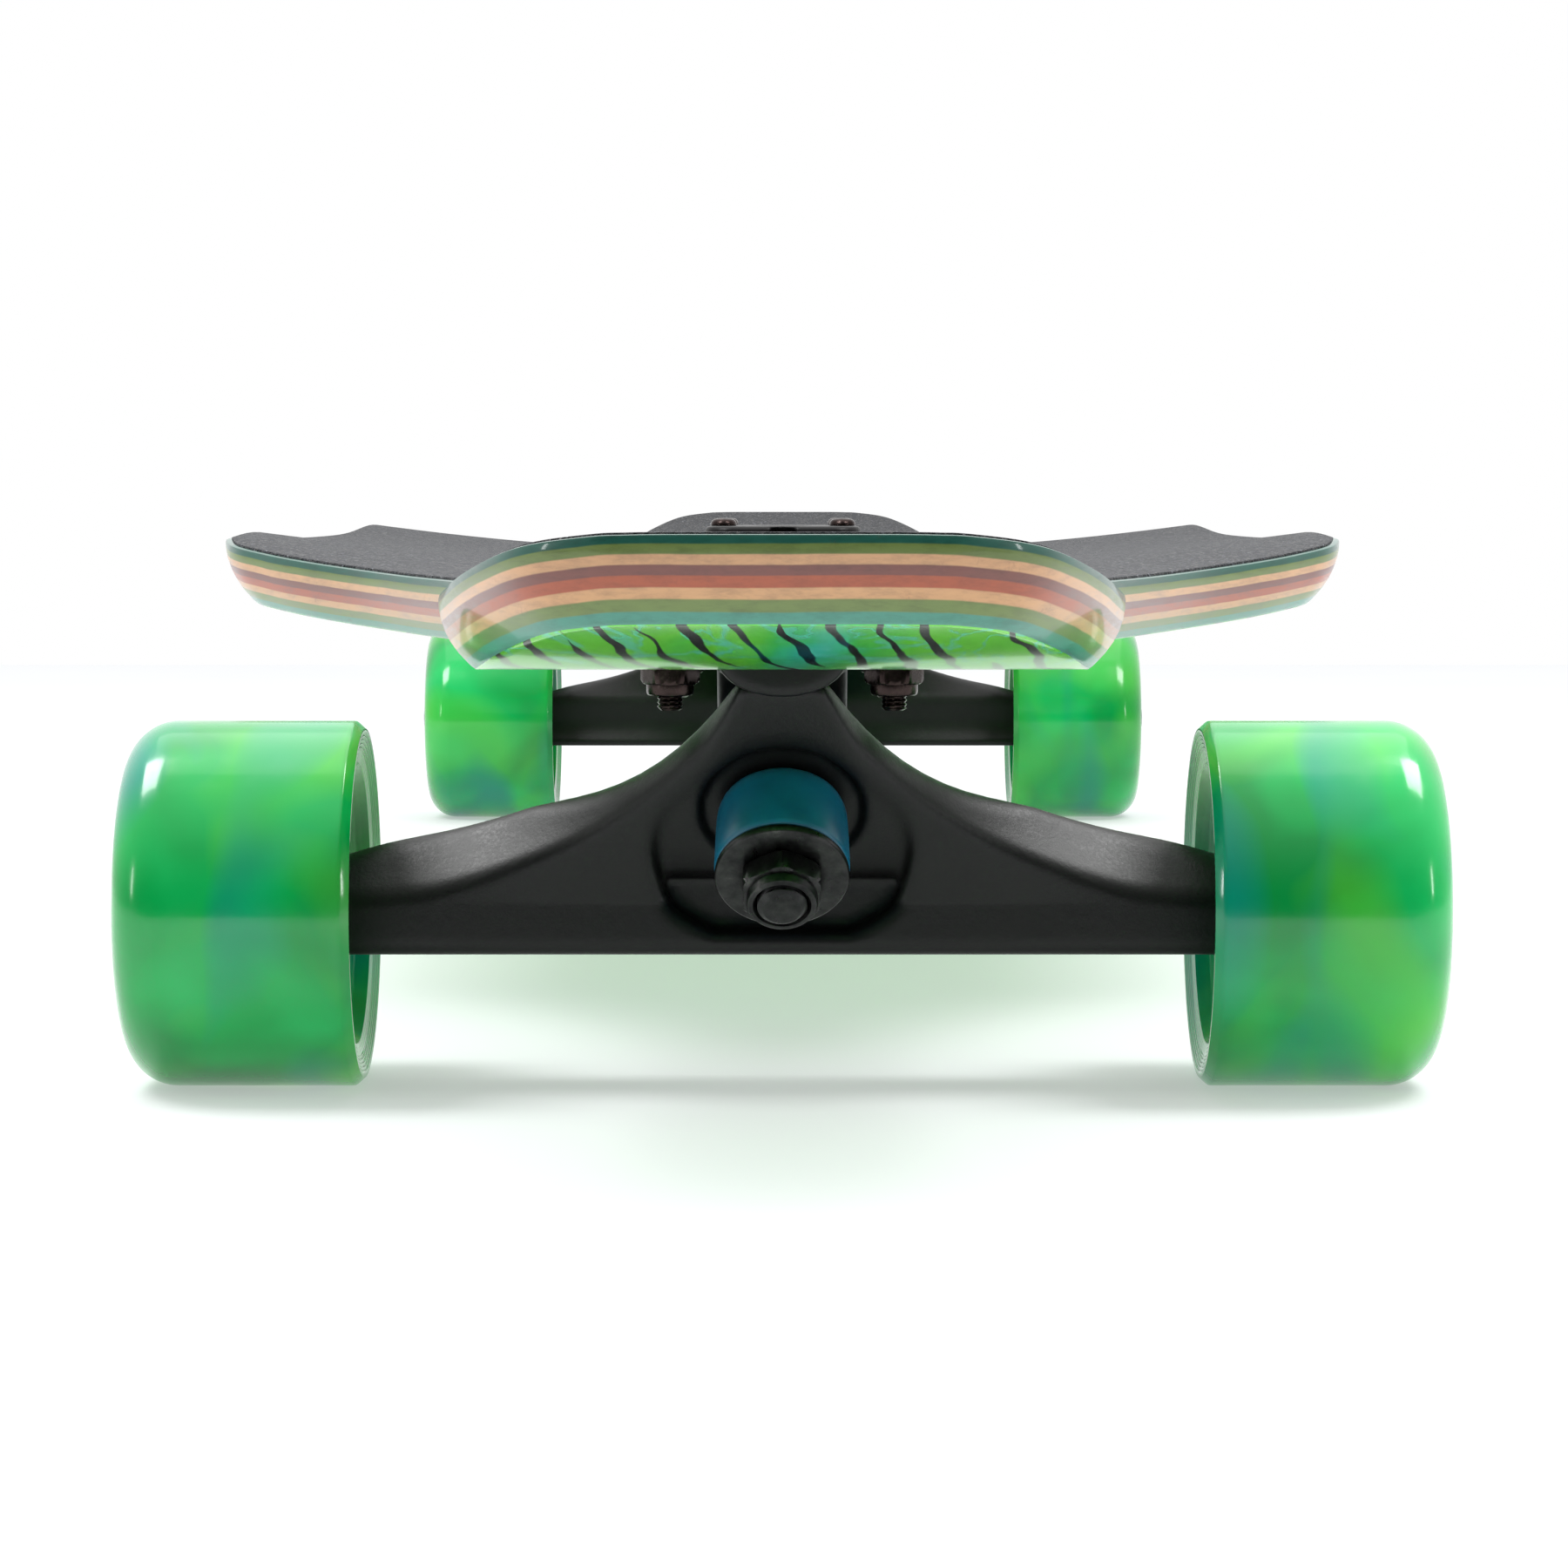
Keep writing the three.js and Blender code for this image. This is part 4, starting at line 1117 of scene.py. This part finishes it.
def make_kingpin_stack(end, place):
    """The kingpin, its washers and nut, and the urethane cup for the hanger's stub."""
    kingpin = make_kingpin(f"{end}_kingpin_bolt")
    put(place, kingpin, "deck", "black_hardware", f"{end}_kingpin")
    for where, start in (("road", 17.6), ("board", -18.8)):
        washer = make_washer(f"{end}_{where}_washer", start)
        put(place, washer, "deck", "black_hardware", f"{end}_{where}side_washer")
    nut = make_locknut(f"{end}_kingpin_locknut", RING_CENTRE, OUTWARDS, 14.3, 19.7, 7.0, 4.9)
    put(place, nut, "deck", "black_hardware", f"{end}_kingpin_nut")
    profile = [(0.01, 2.5), (5.1, 2.5), (5.1, -4), (5.4, -4.3), (7.0, -4.3), (7.3, -4)]
    profile += [(7.3, 4.3), (7.0, 4.6), (0.01, 4.6)]
    cup = revolved(f"{end}_pivot_bush", profile, PIVOT_TIP, STEERING)
    put(place, cup, "deck", "pivot_urethane", f"{end}_pivot_cup")


def make_bushings(end, place):
    """Each bushing runs from its seat at the hanger to its washer, and is baked in place without a body."""
    for where, seat, washer in (("road", 0.45, 17.5), ("board", -4.1, -16.7)):
        bushing = make_bushing(f"{end}_{where}_urethane", seat, washer)
        put(place, bushing, None, "bushing_urethane", f"{end}_{where}side_bushing")
        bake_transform(bushing)


def make_deck_bolts(end, place):
    """The bolts and lock nuts. The rear truck is turned round, so its left and right change places."""
    for label, (x, y) in BOLTS.items():
        row, side = label.split("_")
        if end == "rear":
            side = {"left": "right", "right": "left"}[side]
        node = f"{end}_{row}_{side}"
        put(place, make_bolt(f"{node}_screw", x, y), "deck", "deck_hardware", f"{node}_bolt")
        nut = make_locknut(f"{node}_nut", Vector((x, y, 0)), -UP, 9.5, 0.1 - DECK_OVER_AXLE, 6.6, 2.45, 72)
        put(place, nut, "deck", "deck_hardware", f"{node}_locknut")


def make_truck(end, place, castings):
    """One truck with its castings, hardware and wheels. On the rear truck the +X end is the left one."""
    hanger_casting, baseplate_casting, core = castings
    hanger = f"{end}_hanger"
    put(place, add_casting(f"{end}_hanger_casting", hanger_casting), hanger, "truck_metal", hanger)
    baseplate = add_casting(f"{end}_baseplate_casting", baseplate_casting)
    put(place, baseplate, "deck", "truck_metal", f"{end}_baseplate")
    put(place, make_axle(f"{end}_axle_rod"), hanger, "axle_steel", f"{end}_axle")
    make_kingpin_stack(end, place)
    make_bushings(end, place)
    make_deck_bolts(end, place)
    sides = ("right", "left") if end == "front" else ("left", "right")
    for side, turned in zip(sides, (False, True)):
        make_wheel(f"{end}_{side}", turned, place, hanger, core)


def make_trucks():
    castings = (hanger_mesh(), baseplate_mesh(), core_mesh())
    front = Matrix.Translation(Vector((0, -AXLE_Y, WHEEL_RADIUS)) * MM)
    rear = Matrix.Translation(Vector((0, AXLE_Y, WHEEL_RADIUS)) * MM)
    make_truck("front", front, castings)
    make_truck("rear", rear @ Matrix.Rotation(math.pi, 4, "Z"), castings)


add_camera()
add_world()
add_floor()
add_black_card()
add_lights()
bpy.context.scene.view_settings.view_transform = "Standard"
make_deck()
make_trucks()
